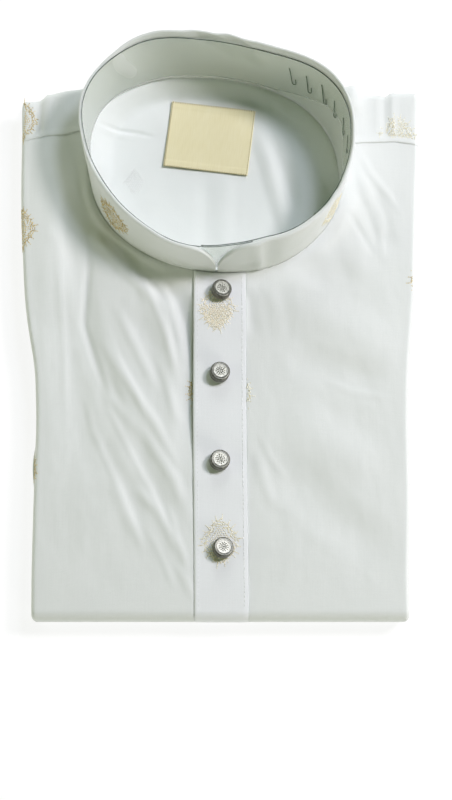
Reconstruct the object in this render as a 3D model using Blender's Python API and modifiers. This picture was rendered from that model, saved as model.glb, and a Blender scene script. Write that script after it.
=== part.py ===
"""A men's kurta tunic, folded into a flat pack and lying on its back.

Frame: +X to the viewer's right, +Y towards the collar, +Z up. The origin is in
the middle of the pack, on the surface it lies on. Sizes are in millimetres and
become metres as each mesh is made. Each cloth piece is a wall: its outer and its
inner face are grids of points worked out from the sizes below, joined at their rims.
"""
from collections import namedtuple
from math import asin, cos, degrees, hypot, pi, radians, sin

import bmesh
import bpy
import numpy as np

MM = 0.001

# ---- cloth -----------------------------------------------------------------
WALL = 1.2            # thickness of the front and the back
SEAM_GAP = 0.3        # between two pieces that touch
PACK_HEIGHT = 22.0    # from the surface to the front, lying flat
FOLD_Y = -174.2       # outermost line of the bottom fold
SIDE_REACH = 5.0      # how far in the rounding of a side fold starts
SIDE_DROP = 6.0       # height of that rounding
SIDE_TUCK = 20.0      # degrees that a side fold turns under
HEM_FOLD_Y = 147.0    # axis of the fold at the far end of the underside
HEM_RADIUS = 3.5
HEM_TAPER = 20.0      # the side folds flatten over this length before that fold
TOP_RADIUS = 5.5      # of the shoulder fold
TUCK_Y = 20.0         # where the back ends, under the front
CORNER_SHARE = 0.45   # depth left to the side folds where they turn over the shoulder
BACK_INSET = 7.5      # how far the back's inside layer stays in from the pack's edge
NEAR = 10.0           # an inner layer stays under the lowest cloth within this reach

# ---- collar ----------------------------------------------------------------
BAND_WALL = 2.4
BAND_GAP = 0.6        # from the neck seam up to the band
OPENING_TURN = 6.0    # degrees from the centre front to the left, where the band's ends meet
BAND_HEIGHT_BACK = 38.5
BAND_HEIGHT_FRONT = 33.0
BAND_CORNER = 15.0    # length of the rounding of each end of the band
STRIP_WALL = 0.8
STRIP_RISE = 3.0      # from the neck seam to the strip's lower edge
STRIP_OVERLAP = 9.0   # degrees that each end passes the centre front
STRIP_DROP = 1.5      # from the band's top edge to the strip's

# ---- placket, buttons, label -----------------------------------------------
PLACKET_LEFT = -16.4
PLACKET_RIGHT = 15.2
PLACKET_WALL = 2.0
PLACKET_LEAN = 1.1    # its shift to the right from the collar to the fold
PLACKET_END_Y = -60.0   # on the underside
PLACKET_UNDER_ROWS = 3
PLACKET_TOP_GAP = 1.9   # from the neck seam
BED_TOP = 1.3         # how far the front lies lower under the placket
BED_UNDER = 2.3       # the same on the underside, which stays flat
BUTTON_RADIUS = 6.0
BUTTON_FACE_RADIUS = 4.3
LABEL_WIDTH = 53.0
LABEL_HEIGHT = 42.5
LABEL_WALL = 1.0
LABEL_TURN = -7.0     # degrees
LABEL_CENTRE = (-7.0, 125.2)

Ring = namedtuple("Ring", "x y half_width half_depth shear power pull")
NECK = Ring(x=-2.0, y=101.0, half_width=76.5, half_depth=62.5, shear=-0.15, power=2.2, pull="seam")
COLLAR_TOP = Ring(x=-0.4, y=108.7, half_width=80.6, half_depth=64.2, shear=-0.15, power=2.3, pull="top")

# How far the cloth pulls the neck seam and the collar's top out of their rings.
Pull = namedtuple("Pull", "turn seam top")
PULLS = [
    Pull(turn=0, seam=1.0, top=0.5),
    Pull(turn=10, seam=1.2, top=3.0),
    Pull(turn=16, seam=1.4, top=3.6),
    Pull(turn=23, seam=1.6, top=3.2),
    Pull(turn=31, seam=2.0, top=1.2),
    Pull(turn=40, seam=2.3, top=-1.2),
    Pull(turn=52, seam=2.8, top=-2.2),
    Pull(turn=66, seam=3.4, top=-2.9),
    Pull(turn=78, seam=2.6, top=-1.2),
    Pull(turn=90, seam=2.0, top=1.0),
    Pull(turn=102, seam=2.4, top=2.5),
    Pull(turn=116, seam=3.4, top=2.5),
    Pull(turn=128, seam=4.0, top=2.2),
    Pull(turn=140, seam=2.4, top=1.8),
    Pull(turn=150, seam=1.2, top=2.8),
    Pull(turn=162, seam=0.2, top=3.2),
    Pull(turn=176, seam=-1.2, top=0.5),
    Pull(turn=189, seam=-1.8, top=-2.8),
    Pull(turn=204, seam=-2.0, top=-3.9),
    Pull(turn=216, seam=-1.2, top=-2.2),
    Pull(turn=229, seam=-0.4, top=1.6),
    Pull(turn=240, seam=0.0, top=3.2),
    Pull(turn=252, seam=0.0, top=3.4),
    Pull(turn=262, seam=-0.4, top=1.8),
    Pull(turn=272, seam=-1.0, top=-1.6),
    Pull(turn=282, seam=-1.8, top=-4.8),
    Pull(turn=294, seam=-3.2, top=-6.6),
    Pull(turn=308, seam=-4.5, top=-7.0),
    Pull(turn=320, seam=-4.2, top=-6.4),
    Pull(turn=334, seam=-2.2, top=-5.0),
    Pull(turn=346, seam=-0.2, top=-3.8),
    Pull(turn=354, seam=0.6, top=-2.6),
    Pull(turn=360, seam=1.0, top=0.5),
]

# Half width of the pack to the left and right of its centre line, along y.
Edge = namedtuple("Edge", "y left right")
EDGES = [
    Edge(y=-174, left=111.2, right=111.3),
    Edge(y=-147, left=111.7, right=111.4),
    Edge(y=-102, left=111.5, right=113.1),
    Edge(y=-54, left=110.9, right=113.2),
    Edge(y=-23, left=112.4, right=114.3),
    Edge(y=5, left=117.7, right=116.9),
    Edge(y=22, left=119.9, right=118.6),
    Edge(y=52, left=121.9, right=119.9),
    Edge(y=84, left=123.6, right=121.3),
    Edge(y=117, left=123.9, right=123.0),
    Edge(y=160, left=123.9, right=123.9),
]

# The line of the shoulder fold and of the shoulder seam, along x.
TopLine = namedtuple("TopLine", "x fold seam")
TOP_LINES = [
    TopLine(x=-124, fold=147.6, seam=120.0),
    TopLine(x=-116, fold=147.9, seam=122.0),
    TopLine(x=-108, fold=152.0, seam=124.2),
    TopLine(x=-98, fold=154.7, seam=124.4),
    TopLine(x=-88, fold=156.6, seam=127.0),
    TopLine(x=-77, fold=160.0, seam=129.5),
    TopLine(x=-60, fold=164.4, seam=129.5),
    TopLine(x=-30, fold=166.2, seam=129.5),
    TopLine(x=10, fold=165.9, seam=121.0),
    TopLine(x=35, fold=164.2, seam=120.0),
    TopLine(x=60, fold=160.0, seam=119.5),
    TopLine(x=77, fold=156.6, seam=119.0),
    TopLine(x=84, fold=156.4, seam=119.2),
    TopLine(x=89, fold=152.0, seam=119.6),
    TopLine(x=103, fold=152.0, seam=120.0),
    TopLine(x=108, fold=153.3, seam=120.2),
    TopLine(x=124, fold=153.3, seam=118.0),
]

# The largest folds of the top face: a soft ridge (height > 0) or trough along a line.
Fold = namedtuple("Fold", "x0 y0 x1 y1 half_width height")
FOLDS = [
    Fold(x0=-106, y0=122, x1=-104, y1=8, half_width=8, height=0.9),
    Fold(x0=-88, y0=112, x1=-85, y1=40, half_width=9, height=-1.8),
    Fold(x0=-85, y0=46, x1=-78, y1=-12, half_width=8, height=-1.6),
    Fold(x0=-78, y0=-10, x1=-62, y1=-68, half_width=7, height=-1.4),
    Fold(x0=-77, y0=56, x1=-56, y1=28, half_width=4, height=1.3),
    Fold(x0=-70, y0=66, x1=-54, y1=36, half_width=5, height=-1.6),
    Fold(x0=-54, y0=38, x1=-26, y1=18, half_width=5, height=-1.5),
    Fold(x0=-48, y0=30, x1=-34, y1=10, half_width=5, height=1.4),
    Fold(x0=-35, y0=12, x1=-24, y1=-34, half_width=5, height=1.2),
    Fold(x0=-62, y0=14, x1=-36, y1=-24, half_width=6, height=-1.1),
    Fold(x0=-62, y0=-30, x1=-28, y1=-102, half_width=7, height=0.9),
    Fold(x0=-58, y0=-62, x1=-34, y1=-118, half_width=6, height=-1.1),
    Fold(x0=-74, y0=-68, x1=-48, y1=-120, half_width=5, height=-0.8),
    Fold(x0=-30, y0=20, x1=-24, y1=-96, half_width=5, height=-0.9),
    Fold(x0=-28, y0=-142, x1=-20, y1=-164, half_width=3, height=0.8),
    Fold(x0=38, y0=17, x1=104, y1=-14, half_width=11, height=0.9),
    Fold(x0=46, y0=-17, x1=88, y1=-27, half_width=9, height=-0.7),
    Fold(x0=42, y0=-62, x1=84, y1=-86, half_width=11, height=0.8),
    Fold(x0=32, y0=-82, x1=98, y1=-138, half_width=9, height=-0.8),
    Fold(x0=92, y0=84, x1=102, y1=52, half_width=6, height=-0.9),
    Fold(x0=18, y0=20, x1=21, y1=-8, half_width=4, height=-0.6),
    Fold(x0=-112, y0=147, x1=-114, y1=128, half_width=3, height=-1.0),
    Fold(x0=105, y0=152, x1=105, y1=130, half_width=3, height=-1.2),
    Fold(x0=82, y0=156, x1=81, y1=140, half_width=4, height=2.4),
]

# Edges of the hidden layers at each side, between the two side folds: how far the
# lip of each layer stays inside the pack's edge, and how much it bulges out.
Layer = namedtuple("Layer", "z inset bulge")
LAYERS = [
    Layer(z=12.8, inset=0.9, bulge=1.0),
    Layer(z=11.0, inset=2.0, bulge=4.6),
    Layer(z=9.2, inset=1.0, bulge=4.2),
]
LAYER_HALF = 0.85
LIP_FLOOR = 8.2       # the layers show above this height, over the underside's side fold
BULGE_Y = (-112.0, -52.0)   # stretch of the left side where the layers bulge out

# Turned profile of a button, up the outer side: radius and height over the placket.
Turn = namedtuple("Turn", "radius height")
BUTTON_PROFILE = [
    Turn(0.0, 0.0),
    Turn(2.0, 0.0),
    Turn(2.0, 1.5),
    Turn(5.3, 1.5),
    Turn(BUTTON_RADIUS, 2.2),
    Turn(BUTTON_RADIUS, 3.5),
    Turn(5.5, 4.1),
    Turn(BUTTON_FACE_RADIUS + 0.2, 4.5),
    Turn(BUTTON_FACE_RADIUS, 5.3),
    Turn(3.8, 5.5),
    Turn(3.3, 5.0),
    Turn(0.0, 5.0),
]
Place = namedtuple("Place", "x y")
BUTTONS = [Place(0.6, 24.6), Place(-0.6, -26.4), Place(-1.0, -79.6), Place(0.6, -131.3)]

Finish = namedtuple("Finish", "color roughness metallic alpha")
CLOTH = Finish((0.77, 0.79, 0.77), 0.85, 0.0, 1.0)
BAND_CLOTH = Finish((0.76, 0.78, 0.76), 0.8, 0.0, 1.0)
LINED_CLOTH = Finish((0.72, 0.74, 0.72), 0.9, 0.0, 1.0)
CREAM_TAPE = Finish((0.70, 0.62, 0.38), 0.75, 0.0, 1.0)
DARK_METAL = Finish((0.17, 0.17, 0.15), 0.35, 0.9, 1.0)
CLEAR_PLASTIC = Finish((0.85, 0.90, 0.86), 0.1, 0.0, 0.35)

HALF_HEIGHT = PACK_HEIGHT / 2
BEND_Y = FOLD_Y + HALF_HEIGHT


# ---- helpers ---------------------------------------------------------------
def smooth(value, start, stop):
    """0 before start, 1 after stop, and an S curve between them."""
    t = min(max((value - start) / (stop - start), 0.0), 1.0)
    return t * t * (3 - 2 * t)


def read(table, key, column, value):
    """Straight-line reading of a table's column at a value of its key column."""
    return float(np.interp(value, [getattr(r, key) for r in table], [getattr(r, column) for r in table]))


def half_width(y, side):
    """Distance from the centre line to the pack's edge; side is -1 or 1."""
    return read(EDGES, "y", "left" if side < 0 else "right", y)


def ring_point(ring, turn, grow=0.0):
    """Point of a ring, by its turn in degrees from the centre front past the left."""
    a = radians(turn)
    c, s = -sin(a), -cos(a)
    power = 2 / ring.power
    grow += sum(read(PULLS, "turn", ring.pull, (turn + ease) % 360.0) for ease in (-6, 0, 6)) / 3
    out_x = abs(c) ** power * (1 if c > 0 else -1) * (ring.half_width + grow)
    out_y = abs(s) ** power * (1 if s > 0 else -1) * (ring.half_depth + grow)
    return ring.x + out_x + ring.shear * out_y, ring.y + out_y


NECK_POINTS = [ring_point(NECK, t) for t in range(0, 361, 2)]
NECK_LEFT = min(range(181), key=lambda i: NECK_POINTS[i][0])
NECK_RIGHT = max(range(181), key=lambda i: NECK_POINTS[i][0])
NECK_BACK_ARC = NECK_POINTS[NECK_LEFT:NECK_RIGHT + 1]
NECK_FRONT_ARC = NECK_POINTS[NECK_RIGHT:180] + NECK_POINTS[:NECK_LEFT + 1]
NECK_FRONT_ARC.reverse()


def neck_y(x, arc):
    """Where the neck seam crosses x, on its front or its back arc."""
    return float(np.interp(x, [p[0] for p in arc], [p[1] for p in arc]))


def fold_relief(x, y):
    """Height that the folds add to the top face."""
    total = 0.0
    for f in FOLDS:
        dx, dy = f.x1 - f.x0, f.y1 - f.y0
        along = ((x - f.x0) * dx + (y - f.y0) * dy) / (dx * dx + dy * dy)
        nearest = min(max(along, 0.0), 1.0)
        away = hypot(x - f.x0 - nearest * dx, y - f.y0 - nearest * dy) / f.half_width
        if away < 1.6:
            total += f.height * (1 - smooth(away, 0.0, 1.6)) * (1 - smooth(abs(along - 0.5), 0.3, 0.7))
    return total


def top_relief(x, y):
    """The folds, fading towards the side folds, the bottom fold and the neck seam."""
    reach = half_width(y, x) - SIDE_REACH - abs(x)
    fade = smooth(reach, -1.0, 6.0) * smooth(y, BEND_Y, BEND_Y + 25)
    neck_gap = neck_y(x, NECK_FRONT_ARC) - y
    if NECK_FRONT_ARC[0][0] < x < NECK_FRONT_ARC[-1][0]:
        fade *= smooth(neck_gap, 0.0, 14.0)
    return fold_relief(x, y) * fade


def bed_depth(x, lean, under):
    """How far the front sinks under the placket; under runs from 0 to 1 round the fold."""
    depth = BED_TOP + (BED_UNDER - BED_TOP) * under
    inside = min(x - lean - PLACKET_LEFT, PLACKET_RIGHT - (x - lean))
    return depth * smooth(inside, -1.8, -0.5)


def placket_lean(y):
    """Sideways shift of the placket and of the cloth under it."""
    return PLACKET_LEAN * smooth(-y, -40.0, -FOLD_Y)


def top_height(x, y):
    """Height of the pack's top face, clear of the side folds."""
    return PACK_HEIGHT + top_relief(x, y) - bed_depth(x, placket_lean(y), 0.0)


def lowest_top(x, y):
    """Lowest height of the top face around a point, for what lies under it."""
    around = (-NEAR, -NEAR / 2, 0.0, NEAR / 2, NEAR)
    return min(top_height(x + i, y + j) for i in around for j in around)


def side_fold(y, place, into, opened=0.0):
    """x and depth of a point on a side fold. place is a side and an angle from the
    face, into is the distance inside the wall, and opened flattens the fold."""
    side, angle = place
    a = radians(angle)
    start = half_width(y, side) - SIDE_REACH
    folded_x = start + (SIDE_REACH - into) * sin(a)
    open_x = start + SIDE_REACH * angle / (90.0 + SIDE_TUCK)
    depth = into + (SIDE_DROP - into) * (1 - cos(a)) * (1 - opened)
    return side * (folded_x + (open_x - folded_x) * opened), depth


def make_object(name, bm, finish):
    """Object from a bmesh in millimetres, with its own Principled material."""
    bmesh.ops.scale(bm, vec=(MM, MM, MM), verts=bm.verts)
    mesh = bpy.data.meshes.new(name)
    bm.to_mesh(mesh)
    bm.free()
    obj = bpy.data.objects.new(name, mesh)
    collection.objects.link(obj)
    material = bpy.data.materials.new(name)
    material.use_nodes = True
    shader = material.node_tree.nodes["Principled BSDF"]
    shader.inputs["Base Color"].default_value = (*finish.color, 1.0)
    shader.inputs["Roughness"].default_value = finish.roughness
    shader.inputs["Metallic"].default_value = finish.metallic
    shader.inputs["Alpha"].default_value = finish.alpha
    mesh.materials.append(material)
    return obj


def make_wall(name, outer, inner, finish, left_out=None):
    """Closed wall between two grids of points. Its outer face turns outwards when the
    rows go down and the columns go right; left_out(row, column) skips a cell."""
    bm = bmesh.new()
    faces = [[[bm.verts.new(p) for p in row] for row in grid] for grid in (outer, inner)]
    height, width = len(outer) - 1, len(outer[0]) - 1
    cells = {(i, j) for i in range(height) for j in range(width) if not (left_out and left_out(i, j))}
    front, back = faces
    corners = ((0, 0), (1, 0), (1, 1), (0, 1))
    rims = {(-1, 0): ((0, 1), (0, 0)), (1, 0): ((1, 0), (1, 1)),
            (0, -1): ((0, 0), (1, 0)), (0, 1): ((1, 1), (0, 1))}
    for i, j in cells:
        bm.faces.new([front[i + down][j + right] for down, right in corners])
        bm.faces.new([back[i + down][j + right] for down, right in reversed(corners)])
        for (down, right), (first, last) in rims.items():
            if (i + down, j + right) not in cells:
                a = i + first[0], j + first[1]
                b = i + last[0], j + last[1]
                bm.faces.new((front[b[0]][b[1]], front[a[0]][a[1]], back[a[0]][a[1]], back[b[0]][b[1]]))
    loose = [v for v in bm.verts if not v.link_faces]
    bmesh.ops.delete(bm, geom=loose, context="VERTS")
    return make_object(name, bm, finish)


def steps(start, stop, count):
    """Evenly spaced values, both ends included."""
    return [start + (stop - start) * i / count for i in range(count + 1)]


# ---- the shoulder seams, where the front and the back meet point to point --
SIDE_ANGLES = [0.0, 36.0, 72.0, 90.0 + SIDE_TUCK]
LEFT_SHOULDER = [-111.0, -104.0, -96.0, -88.0, -82.0]
RIGHT_SHOULDER = [84.5, 90.0, 97.0, 103.0, 107.0, 112.0]
SPREAD_X = 80.0       # the columns spread from here out
SPREAD_RUN = 37.0     # to here, where a side fold starts


def spread(column, y):
    """x of a column at y: beyond the neck the columns spread with the pack's width."""
    room = half_width(y, column) - SIDE_REACH
    outer = min(abs(column), SPREAD_X) + max(abs(column) - SPREAD_X, 0.0) * (room - SPREAD_X) / SPREAD_RUN
    return outer if column > 0 else -outer


def seam_y(column):
    """y of the shoulder seam, for an x or for a side and an angle round its fold."""
    x = column[0] * TOP_LINES[-1].x if isinstance(column, tuple) else column
    return read(TOP_LINES, "x", "seam", x)


# ---- front: one panel, from the shoulder seams round the bottom fold -------
def front_columns():
    """Places across the front: x values, and angles round each side fold."""
    arc = NECK_FRONT_ARC
    left, right = arc[0][0], arc[-1][0]
    near_left = [arc[i][0] for i in (0, 4, 8, 12, 16)]
    near_right = [arc[-1 - i][0] for i in (16, 12, 8, 4, 0)]
    placket = [PLACKET_LEFT - 1.8, PLACKET_LEFT - 0.5, -8.0, -0.5, 0.5, 8.0,
               PLACKET_RIGHT + 0.5, PLACKET_RIGHT + 1.8]
    middle = [near_left[-1] + 5, -50.0, -43.0, -36.0, -29.0, -23.0, *placket, 25.0, 36.0, 48.0]
    return [*LEFT_SHOULDER, left - 0.3, *near_left, *middle, *near_right, right + 0.3, *RIGHT_SHOULDER]


COLUMNS = front_columns()
SLIT_COLUMN = COLUMNS.index(-0.5) + len(SIDE_ANGLES)
FRONT_ROWS = 20       # cells down the top face
BEND_ROWS = 8         # cells round the bottom fold
BENDS = steps(180.0 / BEND_ROWS, 180.0, BEND_ROWS - 1)


def front_place(column, y, under, into, opened=0.0):
    """x and depth below the flat face, for a column (x, or a side and an angle)."""
    if isinstance(column, tuple):
        return side_fold(y, column, into, opened)
    lean = placket_lean(y) * (1 - smooth(abs(column), 30.0, 75.0))
    x = spread(column, y) + lean
    past_placket = smooth(y, PLACKET_END_Y + 8, PLACKET_END_Y + 35) if under == 1.0 else 0.0
    return x, into + bed_depth(x, lean, under) * (1 - past_placket)


def front_point(column, y, bend=0.0, into=0.0, opened=0.0):
    """Point on the front, or into its wall (out of it below 0): on the top face, or
    turned round the bottom fold by bend degrees, and on the underside at 180."""
    x, depth = front_place(column, y, bend / 180.0, into, opened)
    relief = 0.0 if bend or isinstance(column, tuple) else top_relief(x, y)
    radius = HALF_HEIGHT - depth + relief
    a = radians(bend)
    return x, y - radius * sin(a), HALF_HEIGHT + radius * cos(a)


def hem_point(column, bend, into):
    """Point on the fold at the far end of the underside."""
    x, depth = front_place(column, HEM_FOLD_Y, 1.0, into, 1.0)
    radius = HEM_RADIUS - depth
    a = radians(bend)
    return x, HEM_FOLD_Y + radius * sin(a), HEM_RADIUS - radius * cos(a)


def front_start(column):
    """y where a column of the front starts, at a shoulder seam or the neck seam."""
    on_ring = not isinstance(column, tuple) and NECK_FRONT_ARC[0][0] <= column <= NECK_FRONT_ARC[-1][0]
    return neck_y(column, NECK_FRONT_ARC) if on_ring else seam_y(column)


def build_front():
    """The panel, with a narrow slit hidden under the placket from the neck downwards."""
    columns = [(-1, a) for a in reversed(SIDE_ANGLES)] + COLUMNS + [(1, a) for a in SIDE_ANGLES]
    starts = [front_start(c) for c in columns]
    under = [(e.y, 0.0) for e in EDGES[1:-1]]
    under += [(HEM_FOLD_Y - HEM_TAPER, 0.0), (HEM_FOLD_Y - HEM_TAPER / 2, 0.5)]

    def grid(into):
        rows = [[front_point(c, y0 + (BEND_Y - y0) * v, 0.0, into) for c, y0 in zip(columns, starts)]
                for v in steps(0.0, 1.0, FRONT_ROWS)]
        rows += [[front_point(c, BEND_Y, bend, into) for c in columns] for bend in BENDS]
        rows += [[front_point(c, y, 180.0, into, opened) for c in columns] for y, opened in under]
        rows += [[hem_point(c, bend, into) for c in columns] for bend in steps(0.0, 165.0, 4)]
        return rows

    slit_rows = FRONT_ROWS + BEND_ROWS + PLACKET_UNDER_ROWS
    make_wall("front", grid(0.0), grid(WALL), CLOTH,
              left_out=lambda i, j: j == SLIT_COLUMN and i < slit_rows)


# ---- back: shoulder strips over the top fold, and the inside of the neck ---
BACK_FOLD_ROWS = 11   # cells from the seam to the end of the shoulder fold
BACK_UNDER = [108.0, 92.0, 76.0, 60.0, 46.0, 34.0, TUCK_Y]   # rows under the neck and the front


def back_under(x, y):
    """Height of the back's outer face where it lies under the front and the neck."""
    fold = read(TOP_LINES, "x", "fold", x) - TOP_RADIUS
    ring = hypot((x - NECK.x - NECK.shear * (y - NECK.y)) / NECK.half_width,
                 (y - NECK.y) / NECK.half_depth)
    low = PACK_HEIGHT - 2 * TOP_RADIUS
    high = lowest_top(x, y) - 2 * WALL - 2 * SEAM_GAP
    rise = smooth(ring, 0.72, 1.2) * smooth(fold - y, 2.0, 30.0)
    return low + (high - low) * rise


def back_column(place, into):
    """One column of the back, from the seam over the shoulder fold to its inner end.
    place is an x, or a side and an angle round its fold, which opens as it turns under."""
    is_side = isinstance(place, tuple)
    start = seam_y(place) + SEAM_GAP
    start_x = side_fold(start, place, 0.0)[0] if is_side else spread(place, start)
    if not is_side and NECK_BACK_ARC[0][0] <= place <= NECK_BACK_ARC[-1][0]:
        start = max(start, neck_y(place, NECK_BACK_ARC))
    fold = read(TOP_LINES, "x", "fold", start_x) - TOP_RADIUS
    flat = max(fold - start, 0.0)
    first = degrees(asin(min(max((start - fold) / TOP_RADIUS, 0.0), 1.0)))
    total = flat + TOP_RADIUS * radians(180.0 - first)
    points = []
    for s in steps(0.0, total, BACK_FOLD_ROWS):
        y = min(start + s, max(start, fold))
        bend = first + degrees(max(s - flat, 0.0) / TOP_RADIUS)
        x, depth = start_x, into
        if is_side:
            x, depth = side_fold(start, place, into, smooth(bend, 90.0, 170.0))
            shallow = smooth(y, start, fold)
            depth = into + (depth - into) * (1 - (1 - CORNER_SHARE) * shallow)
        if s < flat:
            points.append((x, y, PACK_HEIGHT + (0.0 if is_side else top_relief(x, y)) - depth))
            continue
        a = radians(bend)
        relief = 0.0 if is_side else top_relief(x, fold) * cos(a / 2) ** 2
        points.append((x, fold + (TOP_RADIUS - depth) * sin(a),
                       PACK_HEIGHT - TOP_RADIUS + (TOP_RADIUS - depth + relief) * cos(a)))
    open_x = side_fold(start, place, 0.0, 1.0)[0] if is_side else start_x
    share = open_x / half_width(start, open_x)
    for y in [fold - 8, fold - 16, fold - 26, *BACK_UNDER]:
        pulled_in = BACK_INSET * smooth(fold - y, 0.0, 8.0)
        x = share * (half_width(y, open_x) - pulled_in)
        points.append((x, y, back_under(x, y) + into))
    return points


def build_back():
    neck = [x for x, y in NECK_BACK_ARC[::3] if y > seam_y(x) + SEAM_GAP]
    places = [(-1, a) for a in reversed(SIDE_ANGLES)] + LEFT_SHOULDER + neck
    places += RIGHT_SHOULDER + [(1, a) for a in SIDE_ANGLES]

    def grid(into):
        rows = [list(row) for row in zip(*[back_column(place, into) for place in places])]
        return rows[::-1]

    make_wall("back", grid(0.0), grid(WALL), CLOTH)


# ---- folded layers: sleeves, sides and lower body, hidden in the pack ------
LAYER_ROOT = 3.4      # depth of the valleys between the layers' lips
LIP_END = 2.6         # the lips draw in by this where they meet the shoulder fold
LIP_ENDS = (100.0, 118.0)   # stretch of y of that
TUCK_FADE = (4.0, 14.0)     # stretch of y where the back comes between the front and these layers
BED_EDGE = (26.0, 38.0)     # stretch of x where they clear the placket under them
Station = namedtuple("Station", "y squeeze inset")
STATIONS = [
    Station(BEND_Y - 3.0, 0.8, 1.8),
    Station(BEND_Y - 1.5, 0.93, 0.6),
    Station(BEND_Y, 1.0, 0.0),
    *[Station(y, 1.0, 0.0) for y in (-147, -130, -112, -102, -92, -82, -72, -62, -54, -38, -23, -9)],
    *[Station(y, 1.0, 0.0) for y in (5, 9, 14, 22, 32, 42, 52, 66, 84, 100, 108, 117)],
    Station(124.0, 1.0, 1.5),
    Station(131.0, 1.0, 4.5),
    Station(HEM_FOLD_Y - 2.0, 1.0, 4.5),
    Station(HEM_FOLD_Y - 1.2, 1.0, 4.5),
    Station(HEM_FOLD_Y + 2.5, 0.95, 4.8),
    Station(HEM_FOLD_Y + 3.5, 0.7, 5.6),
]


def filler_top(x, y):
    """Top of the hidden layers, clear of the front and of the back around the point."""
    around = (-NEAR, 0.0, NEAR)
    under_front = lowest_top(x, y) - WALL - SEAM_GAP
    if y < TUCK_FADE[0]:
        return under_front
    under_back = min(back_under(x + i, y + j) for i in around for j in around) - SEAM_GAP
    return under_front + (min(under_back, under_front) - under_front) * smooth(y, *TUCK_FADE)


def filler_section(y, squeeze, inset):
    """Closed section at y: across the top, down the right layers, back and up the left.
    squeeze makes it less tall, inset narrower."""
    low = WALL + SEAM_GAP if y < HEM_FOLD_Y - 1.5 else 2 * HEM_RADIUS + 0.4
    sides = {}
    for side in (1, -1):
        edge = half_width(y, side)
        room = edge - SIDE_REACH - inset
        across = [side * x for x in steps(0.0, room, 9)]
        top = [(x, filler_top(x, y)) for x in across]
        bed = [BED_UNDER * (1 - smooth(abs(x), *BED_EDGE)) for x in across]
        bottom = [(x, low + rise) for x, rise in zip(across, bed)]
        roof = top[-1][1]
        squash = (roof - LIP_FLOOR) / (PACK_HEIGHT - WALL - SEAM_GAP - LIP_FLOOR)
        lip = 1 - smooth(y, *LIP_ENDS)
        bulge = sin(pi * smooth(y, *BULGE_Y)) if side < 0 else 0.0
        down, up = [], []
        for angle in (36.0, 72.0, 90.0):
            a = radians(angle)
            x = side * (room + (SIDE_REACH - WALL - 3 * SEAM_GAP) * sin(a))
            drop = (SIDE_DROP - WALL - SEAM_GAP) * (1 - cos(a))
            down.append((x, roof - drop * squash))
            up.insert(0, (x, low + drop * min((LIP_FLOOR - low) / (LIP_FLOOR - WALL - SEAM_GAP), 1.0)))
        lips = []
        for layer in LAYERS:
            tip = edge - inset - layer.inset * lip - LIP_END * (1 - lip) + layer.bulge * bulge
            base = edge - inset - LAYER_ROOT
            root = base + 0.8 * layer.bulge * bulge
            above = base if layer is LAYERS[0] else root
            below = base if layer is LAYERS[-1] else root
            z = LIP_FLOOR + (layer.z - LIP_FLOOR) * squash
            half = LAYER_HALF * squash
            lips += [(side * above, z + half * 1.05), (side * tip, z + half * 0.5),
                     (side * tip, z - half * 0.5), (side * below, z - half * 1.05)]
        sides[side] = top, down + lips + up, bottom
    (r_top, r_side, r_bottom), (l_top, l_side, l_bottom) = sides[1], sides[-1]
    loop = l_top[:0:-1] + r_top + r_side + r_bottom[::-1] + l_bottom[1:] + l_side[::-1]
    middle = (r_top[0][1] + low) / 2
    return [(x, y, middle + (z - middle) * squeeze) for x, z in loop]


def build_folded_layers():
    bm = bmesh.new()
    loops = [[bm.verts.new(p) for p in filler_section(*station)] for station in STATIONS]
    for near, far in zip(loops, loops[1:]):
        for i in range(len(near)):
            j = (i + 1) % len(near)
            bm.faces.new((near[i], near[j], far[j], far[i]))
    bm.faces.new(reversed(loops[0]))
    bm.faces.new(loops[-1])
    bmesh.ops.recalc_face_normals(bm, faces=bm.faces)
    make_object("folded_layers", bm, LINED_CLOTH)


# ---- collar: a standing band, open in a V at the centre front --------------
def neck_height(x, y):
    """Height of the cloth at the neck seam."""
    fold = read(TOP_LINES, "x", "fold", x) - TOP_RADIUS
    if y <= fold:
        return PACK_HEIGHT
    away = min((y - fold) / TOP_RADIUS, 1.0)
    return PACK_HEIGHT - TOP_RADIUS + TOP_RADIUS * (1 - away * away) ** 0.5


def band_point(turn, level, grow=0.0):
    """Point of the band at a turn and a height above the seam, up the band's slope."""
    base = ring_point(NECK, turn, grow)
    top = ring_point(COLLAR_TOP, turn, grow)
    floor = neck_height(*ring_point(NECK, turn)) + BAND_GAP
    share = level / BAND_HEIGHT_BACK
    return (base[0] + (top[0] - base[0]) * share, base[1] + (top[1] - base[1]) * share, floor + level)


def band_height(turn):
    """Height of the band's top edge above the neck seam."""
    back = smooth(180.0 - abs(180.0 - turn), 20.0, 120.0)
    return BAND_HEIGHT_FRONT + (BAND_HEIGHT_BACK - BAND_HEIGHT_FRONT) * back


def build_collar_band():
    def corner(turn):
        """Share of the band's height that its rounded ends leave at a turn."""
        x, y = ring_point(NECK, turn)
        centre_x, centre_y = ring_point(NECK, OPENING_TURN)
        inside = max(1 - hypot(x - centre_x, y - centre_y) / BAND_CORNER, 0.0)
        return max((1 - inside * inside) ** 0.5, 0.1)

    near = [0.5, 1.0, 2.0, 3.5, 5.5, 8.0, 11.0]
    turns = near + steps(17.0, 343.0, 44) + [360.0 - t for t in reversed(near)]
    turns = [OPENING_TURN + t for t in turns]
    outer, inner = [[[band_point(t, band_height(t % 360.0) * corner(t) * level, grow) for t in turns]
                     for level in steps(0.0, 1.0, 4)] for grow in (BAND_WALL / 2, -BAND_WALL / 2)]
    make_wall("collar_band", outer, inner, BAND_CLOTH)


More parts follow.
